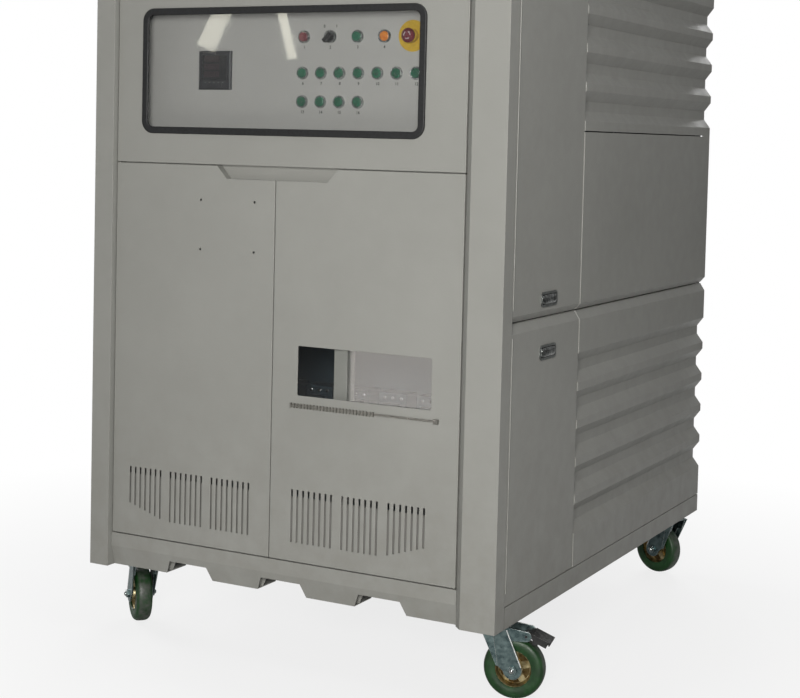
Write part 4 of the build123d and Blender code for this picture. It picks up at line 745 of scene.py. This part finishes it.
def door_seal():
    """Foam seal round the inside of the control door: a rounded strip round a rectangle.

    The strip's section is an ellipse, 7 mm across and 4 mm thick, on the door's back edge.
    """
    inset, width, depth = 16.0, 7.0, 4.0
    low, high = in_mm(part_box("control_door"))
    x0, x1 = low[0] + inset, high[0] - inset
    z0, z1 = low[2] + inset, high[2] - inset
    corners = np.array([(x0, z0), (x1, z0), (x1, z1), (x0, z1), (x0, z0)])
    away = np.array([(-1, -1), (1, -1), (1, 1), (-1, 1), (-1, -1)])
    s = np.linspace(0, 2 * math.pi, 13)
    across = width / 2 * np.cos(s)[None, :, None] * away[:, None, :]
    flat = corners[:, None, :] + across
    y = DOOR_BACK + depth / 2 * np.sin(s)[None, :] + 0 * flat[..., 0]
    grid = np.stack([flat[..., 0], y, flat[..., 1]], axis=-1) * MM
    piece("control_door_seal", grid[None], "gasket_rubber", "control_door")


def folded_edges():
    """Folded front edge of each side door: a round bead of paint carried up the edge."""
    for side_name, side in (("right", 1), ("left", -1)):
        for which in ("upper", "lower"):
            door = side_name + "_" + which + "_door"
            low, high = in_mm(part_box(door))
            half = float(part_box("cabinet_frame")[1][0]) / MM
            tall = high[2] - low[2] - 2 * FOLD_MARGIN
            bead = stacked(circle(12), [(0, 0.0), (1.3, 0.5), (1.6, 6.0), (1.6, tall - 6.0),
                                        (1.3, tall - 0.5), (0, tall)])
            start = np.array((side * (half - 0.4), low[1] + 2.0, low[2] + FOLD_MARGIN)) * MM
            piece(door + "_fold", placed(bead, [start], (0, 0, 1)), "cabinet_paint", door,
                  crease=60.0)


def latch_grips():
    """Convex grip of each latch: a superellipse outline lofted to a low dome.

    Point j of the outline is (sign times the 0.4th power of the cosine, and of the sine, of t).
    """
    t = np.linspace(0, 2 * math.pi, 64, endpoint=False)
    u = np.sign(np.cos(t)) * np.abs(np.cos(t)) ** 0.4
    v = np.sign(np.sin(t)) * np.abs(np.sin(t)) ** 0.4
    outline = np.stack([u, v], axis=-1) * GRIP_HALF
    layers = [(0, -5.0), (0.99, -5.0), (1.0, 0.0), (0.97, 1.8), (0.9, 3.2), (0.74, 4.4),
              (0.45, 5.2), (0, 5.5)]
    for side_name, side in (("right", 1), ("left", -1)):
        for which in ("upper", "lower"):
            latch = side_name + "_" + which + "_latch"
            dish = centre(latch + "_dish")
            face = max(abs(float(corner[0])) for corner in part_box(latch + "_dish"))
            grid = placed(stacked(outline, layers), [(side * (face - MM), dish[1], dish[2])],
                          (side, 0, 0))
            grip = piece(latch + "_grip", grid, "latch_black", latch, crease=60.0)
            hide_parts(latch + "_paddle")


def vent_filters():
    """Shallow pleated filter behind the slots of each lower door, stopping short of their tops; its grey is
    darkened to paint the shade behind the slots.

    The depth is 0.6 mm times the cosine of the place across, three pleats to a slot pitch.
    """
    front = float(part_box("control_door")[0][1]) / MM
    bottom = float(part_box("left_door")[0][2]) / MM + FILTER_FOOT
    near, far = (front + face for face in FILTER_FACES)
    ring = [(near, bottom), (near, bottom + FILTER_HEIGHT), (far, bottom + FILTER_HEIGHT),
            (far, bottom), (near, bottom)]
    for door, (left, right) in FILTER_SPANS.items():
        x = np.linspace(left, right, 1201)
        pleat = 0.6 * np.cos(2 * math.pi * (x - left) / PLEAT_PITCH)
        rows = np.array([[(xi, y + p, z) for y, z in ring] for xi, p in zip(x, pleat)])
        ends = rows[[0, -1], :4].mean(axis=1)[:, None, :] + np.zeros((1, 5, 1))
        grid = np.concatenate([ends[:1], rows, ends[1:]]) * MM
        piece(door + "_vent_filter", grid[None], "panel_paint", door, made=baffle_paint_painted_shade)


# ---- Casters ---------------------------------------------------------------------------------
CASTER_NAMES = ("front_right", "front_left", "rear_right", "rear_left")
WHEEL_RADIUS = 73.0
TYRE_HALF = 22.0
TYRE_BOND = 48.0           # radius at which the tyre is bonded to its hub
TYRE_LIP = 43.0            # inner radius of the lip that covers the edge of the hub
MOULD_LINE = 16.5          # mould lines from the middle of the tyre
LEG_FACE = 29.5            # outer face of a fork leg from the middle of its wheel
AXLE_TRAIL = 43.0          # axle behind the swivel pin
FOOT_RADIUS = 22.5
FLANGE_WIDTH = 29.0
FLANGE_LEAN = 6.0
EDGE_LENGTH = 92.0         # sheared edge from the crown to the axle
CAP_REACH = 24.0
BOLT_REACH = 40.5
PLATE_THICK = 6.0
PLATE_HALF = 50.0
BOLT_HALF = 37.0           # half the pitch of the bolts in a caster plate


def wheel_axis(caster):
    """Centre of a wheel and its axle's direction, from its hinge."""
    hinge = hinges[caster + "_wheel_spin"]
    return np.array(hinge["pos_m"], dtype=float), np.array(hinge["axis"], dtype=float)


def tyres():
    """Cast tyres with rounded shoulders, a lip over the hub's edge and two fine mould lines.

    The section runs from the bond over the shoulder and across the tread as a superellipse of
    power 3.2, and is turned about the axle.
    """
    s = np.linspace(0, math.pi, 33)
    power = 2 / 3.2
    width = TYRE_HALF * np.sign(np.cos(s)) * np.abs(np.cos(s)) ** power
    rise = (WHEEL_RADIUS - TYRE_BOND - 4.0) * np.abs(np.sin(s)) ** power
    radius = TYRE_BOND + 4.0 + rise
    radius -= 0.5 * np.exp(-((np.abs(width) - MOULD_LINE) / 0.9) ** 2)
    outer = np.stack([radius, width], axis=-1)
    bead = np.array([(TYRE_BOND + 0.4, TYRE_HALF - 5.4), (TYRE_BOND + 0.4, TYRE_HALF - 2.6),
                     (TYRE_LIP, TYRE_HALF - 2.6), (TYRE_LIP + 0.6, TYRE_HALF - 1.2),
                     (TYRE_BOND + 1.4, TYRE_HALF - 0.8)])
    section = np.concatenate([bead, outer, bead[::-1] * (1, -1), bead[:1]])
    t = np.linspace(0, 2 * math.pi, 97)[None, :]
    local = np.stack([section[:, :1] * np.cos(t), section[:, :1] * np.sin(t),
                      section[:, 1:] + 0 * t], axis=-1)
    tread = np.clip((section[:, :1] - WHEEL_RADIUS + 4.0) / 3.0, 0.0, 1.0) + 0 * t
    for caster in CASTER_NAMES:
        place, axis = wheel_axis(caster)
        grid = placed(local[::-1], [place], axis)
        tyre = piece(caster + "_cast_tyre", grid, "tyre_green", caster + "_wheel", crease=50.0,
                     values=tread[::-1])
        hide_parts(caster + "_tyre")


def on_both_sides(local, caster, reach):
    """Copies of a local grid on the axle at both sides of a wheel, reach millimetres out."""
    place, axis = wheel_axis(caster)
    return np.concatenate([placed(local, [place + side * axis * reach * MM], side * axis)
                           for side in (-1, 1)])


def bearing_caps():
    """Pressed caps over the wheel bearings: a stepped disc turned about the axle, each side."""
    cap = stacked(circle(40), [(0, -1.0), (14.5, -1.0), (14.5, 0.6), (12.5, 1.4), (10.5, 0.5),
                               (0, 0.5)])
    for caster in CASTER_NAMES:
        piece(caster + "_bearing_caps", on_both_sides(cap, caster, CAP_REACH), "zinc_plate",
              caster + "_wheel")


def caster_places(caster, local):
    """Local points (along the trail, across, up), in millimetres, carried to a caster's place."""
    _, across = wheel_axis(caster)
    pin = np.array(hinges[caster + "_swivel"]["pos_m"], dtype=float) * (1, 1, 0)
    ahead = np.cross(across, (0.0, 0.0, 1.0))
    return pin + np.asarray(local, dtype=float) * MM @ np.stack([ahead, across, (0.0, 0.0, 1.0)])


def prism_rows(loops):
    """Closed solid through loops of four corners: poles at both ends close it."""
    loops = np.asarray(loops, dtype=float)
    rings = np.concatenate([loops, loops[:, :1]], axis=1)
    ends = loops[[0, -1]].mean(axis=1)[:, None, :] + np.zeros((1, rings.shape[1], 1))
    return np.concatenate([ends[:1], rings, ends[1:]])


def fork_flanges():
    """Folded flange in front of each fork leg, the leg's pressed face and its sheared edge.

    The flange spans from the fold to its free edge, which leans outwards by 6 mm. The face is
    the outline from the fold down, round the axle and up the rear edge, lofted 1.2 mm thick. The
    edge is a round bead carried straight from the crown to the axle, near-white as a painted highlight.
    """
    fold_top, fold_foot, rear_top = (-7.0, 170.0), (8.0, 80.0), (28.0, 166.0)
    turn = np.radians(np.linspace(192.0, 382.0, 25))
    foot = np.stack([AXLE_TRAIL + FOOT_RADIUS * np.cos(turn),
                     WHEEL_RADIUS + FOOT_RADIUS * np.sin(turn)], axis=-1)
    outline = np.concatenate([[fold_top], [fold_foot], foot, [rear_top]])
    middle = np.array((24.0, 120.0))
    for caster in CASTER_NAMES:
        flanges, faces, beads = [], [], []
        _, across = wheel_axis(caster)
        ahead = np.cross(across, (0.0, 0.0, 1.0))
        for side in (-1, 1):
            rows = []
            for free, fold, z in ((-36.0, -7.0, 170.0), (-16.0, 0.5, 125.0), (4.0, 8.0, 80.0)):
                lean = FLANGE_LEAN * (fold - free) / FLANGE_WIDTH
                rows.append([(free, side * (LEG_FACE + lean - 2.5), z),
                             (fold, side * (LEG_FACE - 2.0), z),
                             (fold, side * (LEG_FACE + 1.2), z),
                             (free, side * (LEG_FACE + lean), z)])
            flanges.append(caster_places(caster, prism_rows(rows)))
            rows = stacked(outline - middle, [(0, -3.5), (1, -3.5), (1, 0.7), (0.985, 1.2),
                                              (0, 1.2)])
            local = np.stack([rows[..., 0] + middle[0], side * (LEG_FACE + rows[..., 2]),
                              rows[..., 1] + middle[1]], axis=-1)
            faces.append(caster_places(caster, local))
            bead = stacked(circle(10), [(0, 0.0), (1.7, 0.0), (1.7, EDGE_LENGTH),
                                        (0, EDGE_LENGTH)])
            start = caster_places(caster, (rear_top[0] - 0.8, side * (LEG_FACE + 0.2),
                                           rear_top[1]))
            run = ahead * (foot[-1][0] - rear_top[0]) + np.array((0, 0, foot[-1][1] - rear_top[1]))
            beads.append(placed(bead, [start], run)[0])
        piece(caster + "_fork_flanges", np.stack(flanges), "zinc_plate", caster + "_caster",
              crease=20.0)
        piece(caster + "_leg_faces", np.stack(faces), "zinc_plate", caster + "_caster",
              crease=20.0)
        piece(caster + "_leg_edges", np.stack(beads), "zinc_plate", caster + "_caster",
              made=zinc_edge_highlight, crease=50.0)


def axle_ends():
    """Domed ends of the axle bolts, outside their nuts."""
    dome = stacked(circle(24), [(0, -1.0), (5.8, -1.0), (5.8, 0.0), (5.2, 1.2), (3.6, 2.2),
                                (1.6, 2.8), (0, 3.0)])
    for caster in CASTER_NAMES:
        piece(caster + "_axle_ends", on_both_sides(dome, caster, BOLT_REACH), "bezel_chrome",
              caster + "_caster", crease=50.0)


def hub_webs():
    """Web of each hub behind its spokes: a disc turned about the axle, dished towards the boss, in a darker copy
    of the hub finish that paints the shade of the pockets.
    """
    web = stacked(circle(48), [(0, -1.5), (15.5, -1.5), (30.0, -0.8), (44.0, -1.5), (44.0, 1.5),
                               (30.0, 0.8), (15.5, 1.5), (0, 1.5)])
    for caster in CASTER_NAMES:
        place, axis = wheel_axis(caster)
        piece(caster + "_hub_web", placed(web, [place], axis), "hub_gold", caster + "_wheel",
              made=hub_shadow)


def plate_bolts():
    """Hexagon bolts with washers under the corners of the caster plates."""
    low, high = in_mm(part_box("caster_plates"))
    under = high[2] - PLATE_THICK
    mid_x = (high[0] - PLATE_HALF, low[0] + PLATE_HALF)
    mid_y = (low[1] + PLATE_HALF, high[1] - PLATE_HALF)
    centres = [((x + dx) * MM, (y + dy) * MM, under * MM) for x in mid_x for y in mid_y
               for dx in (-BOLT_HALF, BOLT_HALF) for dy in (-BOLT_HALF, BOLT_HALF)]
    washer = stacked(circle(24), [(0, -0.2), (8.0, -0.2), (8.0, 1.4), (0, 1.4)])
    head = stacked(circle(6), [(0, 1.2), (7.5, 1.2), (7.5, 5.6), (6.6, 6.2), (0, 6.2)])
    piece("plate_washers", placed(washer, centres, (0, 0, -1)), "zinc_plate", "cabinet")
    piece("plate_bolts", placed(head, centres, (0, 0, -1)), "zinc_plate", "cabinet", crease=20.0)


# ---- Fans, resistors and contactors ----------------------------------------------------------
FAN_GUARD_RINGS = 13
FAN_RADIUS = 280.0
GUARD_GAP = 8.0            # guard in front of the wall
GUARD_EDGE = 6.0           # outermost ring outside the fan's opening
GUARD_HUB = (50.0, 60.0)   # radii at which the straight wires and the rings begin
GUARD_REACH = 294.0        # radius at which the straight wires end
TUBE_RADIUS = 11.0
FIN_RADIUS = 18.0
FIN_PITCH = 8.0
FIN_ENDS = (40.0, 36.0)    # bare tube at the front and at the back
RESISTOR_BAY = 745.75      # rise from the lower resistor bank to the upper one
CONTACTOR_PITCH = 110.0
CONTACTOR_FRONT = 25.0     # terminal face behind the front of the contactors
POLE_PITCH = 24.0
CONTACTOR_ROWS = (60.0, 260.0)
TERMINAL_RISES = (12.0, 88.0)


def fan_guards():
    """Wire guard on the inlet side of each fan: rings on four straight wires, on the wall."""
    wall = float(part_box("fan_rings")[0][0]) / MM
    places = [centre(name) / MM for name in ("lower_fan_rotor", "upper_fan_rotor")]
    t = np.linspace(0, 2 * math.pi, 73)
    rings = []
    for place in places:
        for radius in np.linspace(GUARD_HUB[1], FAN_RADIUS + GUARD_EDGE, FAN_GUARD_RINGS):
            path = np.stack([0 * t + wall - GUARD_GAP, place[1] + radius * np.cos(t),
                             place[2] + radius * np.sin(t)], axis=-1)
            rings.append(wire(path, 1.6, 6) * MM)
    piece("fan_guard_rings", np.stack(rings), "bright_steel", "cabinet", crease=80.0)
    ray = stacked(circle(8), [(0, 0.0), (2.2, 0.0), (2.2, 1.0), (0, 1.0)])
    spokes = []
    for place in places:
        for turn in range(4):
            angle = math.pi / 4 + turn * math.pi / 2
            along = np.array((0.0, math.cos(angle), math.sin(angle)))
            length = GUARD_REACH - GUARD_HUB[0]
            spoke = ray * (1, 1, length)
            start = np.array((wall - GUARD_GAP, place[1], place[2])) + along * GUARD_HUB[0]
            spokes.append(placed(spoke, [start * MM], along)[0])
            foot = ray * (1.6, 1.6, GUARD_GAP)
            end = start + along * (length - GUARD_EDGE)
            spokes.append(placed(foot, [end * MM], (1, 0, 0))[0])
    piece("fan_guard_spokes", np.stack(spokes), "bright_steel", "cabinet", crease=60.0)


def tube_fins():
    """Pressed fins along the resistor tubes: thin washers 8 mm apart, twelve-sided."""
    low, high = in_mm(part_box("resistor_tubes"))
    fin = stacked(circle(12), [(10.9, -0.4), (FIN_RADIUS, -0.4), (FIN_RADIUS, 0.4),
                               (10.9, 0.4), (10.9, -0.4)])
    xs = np.linspace(low[0] + TUBE_RADIUS, high[0] - TUBE_RADIUS, 3)
    ys = np.arange(low[1] + FIN_ENDS[0], high[1] - FIN_ENDS[1], FIN_PITCH)
    step = (high[2] - low[2] - 2 * TUBE_RADIUS - RESISTOR_BAY) / 3
    for which in (0, 1):
        zs = low[2] + TUBE_RADIUS + which * RESISTOR_BAY + np.arange(4) * step
        centres = np.array([(x, y, z) for x in xs for z in zs for y in ys]) * MM
        piece(("lower", "upper")[which] + "_tube_fins", placed(fin, centres, (0, 1, 0)),
              "sheath_steel", "cabinet", crease=50.0)


def contactor_terminals():
    """Terminal screws along the top and bottom of every contactor, three to a side."""
    low = in_mm(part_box("contactors"))[0]
    front = low[1] + CONTACTOR_FRONT
    middles = (np.arange(5) - 2) * CONTACTOR_PITCH
    centres = [(x + pole * POLE_PITCH, front, low[2] + row + rise) for x in middles
               for pole in (-1, 0, 1) for row in CONTACTOR_ROWS for rise in TERMINAL_RISES]
    piece("terminal_screws",
          placed(cross_recess_screw(5.0, 3.0, 24), np.array(centres) * MM, (0, -1, 0)),
          "bezel_chrome", "cabinet")


# ---- Studio ----------------------------------------------------------------------------------
CAMERA_AZIMUTH = 28.03       # degrees to the right of the front's normal
CAMERA_PITCH = 3.07          # degrees downwards
CAMERA_ROLL = 1.35
CAMERA_PLACE = (2.048, -4.005, 1.304)
CAMERA_LENS = 72.5           # mm on a 36 mm wide sensor
CAMERA_SHIFT = -0.155


def make_camera():
    """Camera at the height of the control window, to the right of the front."""
    turn = math.radians(CAMERA_AZIMUTH)
    pitch = math.radians(CAMERA_PITCH)
    roll = math.radians(CAMERA_ROLL)
    ahead = Vector((-math.sin(turn) * math.cos(pitch), math.cos(turn) * math.cos(pitch),
                    -math.sin(pitch)))
    right = ahead.cross(Vector((0, 0, 1))).normalized()
    up = right.cross(ahead)
    right, up = (math.cos(roll) * right + math.sin(roll) * up,
                 math.cos(roll) * up - math.sin(roll) * right)
    data = bpy.data.cameras.new("camera")
    data.lens = CAMERA_LENS
    data.sensor_width = 36.0
    data.shift_y = CAMERA_SHIFT
    data.clip_end = 100.0
    camera = bpy.data.objects.new("camera", data)
    axes = Matrix((right, up, -ahead)).transposed().to_4x4()
    camera.matrix_world = Matrix.Translation(CAMERA_PLACE) @ axes
    bpy.context.scene.collection.objects.link(camera)
    bpy.context.scene.camera = camera


def area_lamp(name, place, target, size, power, colour, turn=0.0):
    """Soft rectangular lamp at a place, aimed at a target and turned about that line, degrees."""
    data = bpy.data.lights.new(name, "AREA")
    data.shape = "RECTANGLE"
    data.size, data.size_y = size
    data.energy = power
    data.color = linear(colour)[:3]
    lamp = bpy.data.objects.new(name, data)
    aim = (Vector(target) - Vector(place)).to_track_quat("-Z", "Y").to_matrix()
    lamp.matrix_world = (Matrix.Translation(place)
                         @ (aim @ Matrix.Rotation(math.radians(turn), 3, "Z")).to_4x4())
    bpy.context.scene.collection.objects.link(lamp)


def studio_world():
    """World that is white to the camera, paler in metal and in glass, and dim as light."""
    world = bpy.data.worlds.new("studio")
    bpy.context.scene.world = world
    world.use_nodes = True
    tree = world.node_tree
    path = add(tree, "ShaderNodeLightPath")
    mirrored = add(tree, "ShaderNodeMath", {0: path.outputs["Is Glossy Ray"],
                                            1: path.outputs["Is Transmission Ray"]},
                   operation="MAXIMUM")
    plain = add(tree, "ShaderNodeMath", {0: mirrored.outputs[0], 1: 0.26, 2: 0.05},
                operation="MULTIPLY_ADD")
    strength = add(tree, "ShaderNodeMath", {0: path.outputs["Is Camera Ray"],
                                            1: plain.outputs[0]}, operation="MAXIMUM")
    tree.links.new(strength.outputs[0], tree.nodes["Background"].inputs["Strength"])
    tree.nodes["Background"].inputs["Color"].default_value = linear("#ffffff")


def pale_floor():
    """Wide matt floor: soft shadow near the cabinet, plain white to the camera further out."""
    reach = 30.0
    mesh = bpy.data.meshes.new("floor")
    mesh.from_pydata([(-reach, -reach, 0), (reach, -reach, 0), (reach, reach, 0),
                      (-reach, reach, 0)], [], [(0, 1, 2, 3)])
    floor = bpy.data.objects.new("floor", mesh)
    bpy.context.scene.collection.objects.link(floor)
    made, tree, shader, where = finish("studio_floor", base_color="#c9c9c9", roughness=0.9)
    path = add(tree, "ShaderNodeLightPath")
    away = add(tree, "ShaderNodeVectorMath", {0: where}, operation="LENGTH")
    share = add(tree, "ShaderNodeMapRange", {"Value": away.outputs["Value"], "From Min": 0.9,
                                             "From Max": 2.2, "To Min": 0.8, "To Max": 1.0})
    share = add(tree, "ShaderNodeMath", {0: share.outputs["Result"],
                                         1: path.outputs["Is Camera Ray"]}, operation="MULTIPLY")
    glow = add(tree, "ShaderNodeEmission", {"Strength": 1.0})
    either = add(tree, "ShaderNodeMixShader", {0: share.outputs[0], 1: shader.outputs["BSDF"],
                                               2: glow.outputs["Emission"]})
    tree.links.new(either.outputs["Shader"], tree.nodes["Material Output"].inputs["Surface"])
    mesh.materials.append(made)


def light_the_studio():
    """Key lamp beside the camera, weak fills, and small panels that the panes mirror."""
    area_lamp("key", (1.95, -4.5, 1.7), (0.0, -0.4, 0.9), (1.1, 1.1), 178.0, "#fffefa")
    area_lamp("fill", (-4.0, -3.0, 2.2), (0.0, 0.0, 0.9), (3.0, 3.0), 10.0, "#f6f9ff")
    area_lamp("top", (2.1, -1.3, 3.7), (0.4, -0.4, 1.3), (1.2, 1.2), 25.0, "#ffffff")
    area_lamp("back", (-1.0, 5.0, 2.6), (0.0, 0.0, 0.9), (3.0, 2.0), 170.0, "#ffffff")
    area_lamp("left", (-4.5, 1.2, 2.2), (0.0, 0.1, 0.9), (2.0, 2.0), 110.0, "#ffffff")
    area_lamp("low_panel", (-1.184, -3.5, 0.27), (-0.2, 0.0, 0.3), (0.40, 0.34), 1.5, "#fff8f2")
    area_lamp("left_strip", (-2.14, -3.5, 1.80), (0.0, 0.0, 1.5), (0.085, 0.24), 0.26, "#fffbe8",
              -24.0)
    area_lamp("right_strip", (-1.78, -3.5, 1.80), (0.0, 0.0, 1.5), (0.04, 0.32), 0.2, "#fffbe8",
              14.0)


# ---- Assembly --------------------------------------------------------------------------------
bpy.context.scene.view_settings.view_transform = "Standard"
dress_frame()
device_numbers()
meter_face()
estop_arrows()
lamp_rims()
panel_screws()
track_screws()
rear_cover_screws()
seam_lines()
door_seal()
folded_edges()
tyres()
hub_webs()
bearing_caps()
fork_flanges()
axle_ends()
plate_bolts()
latch_grips()
vent_filters()
fan_guards()
tube_fins()
contactor_terminals()
make_camera()
studio_world()
pale_floor()
light_the_studio()
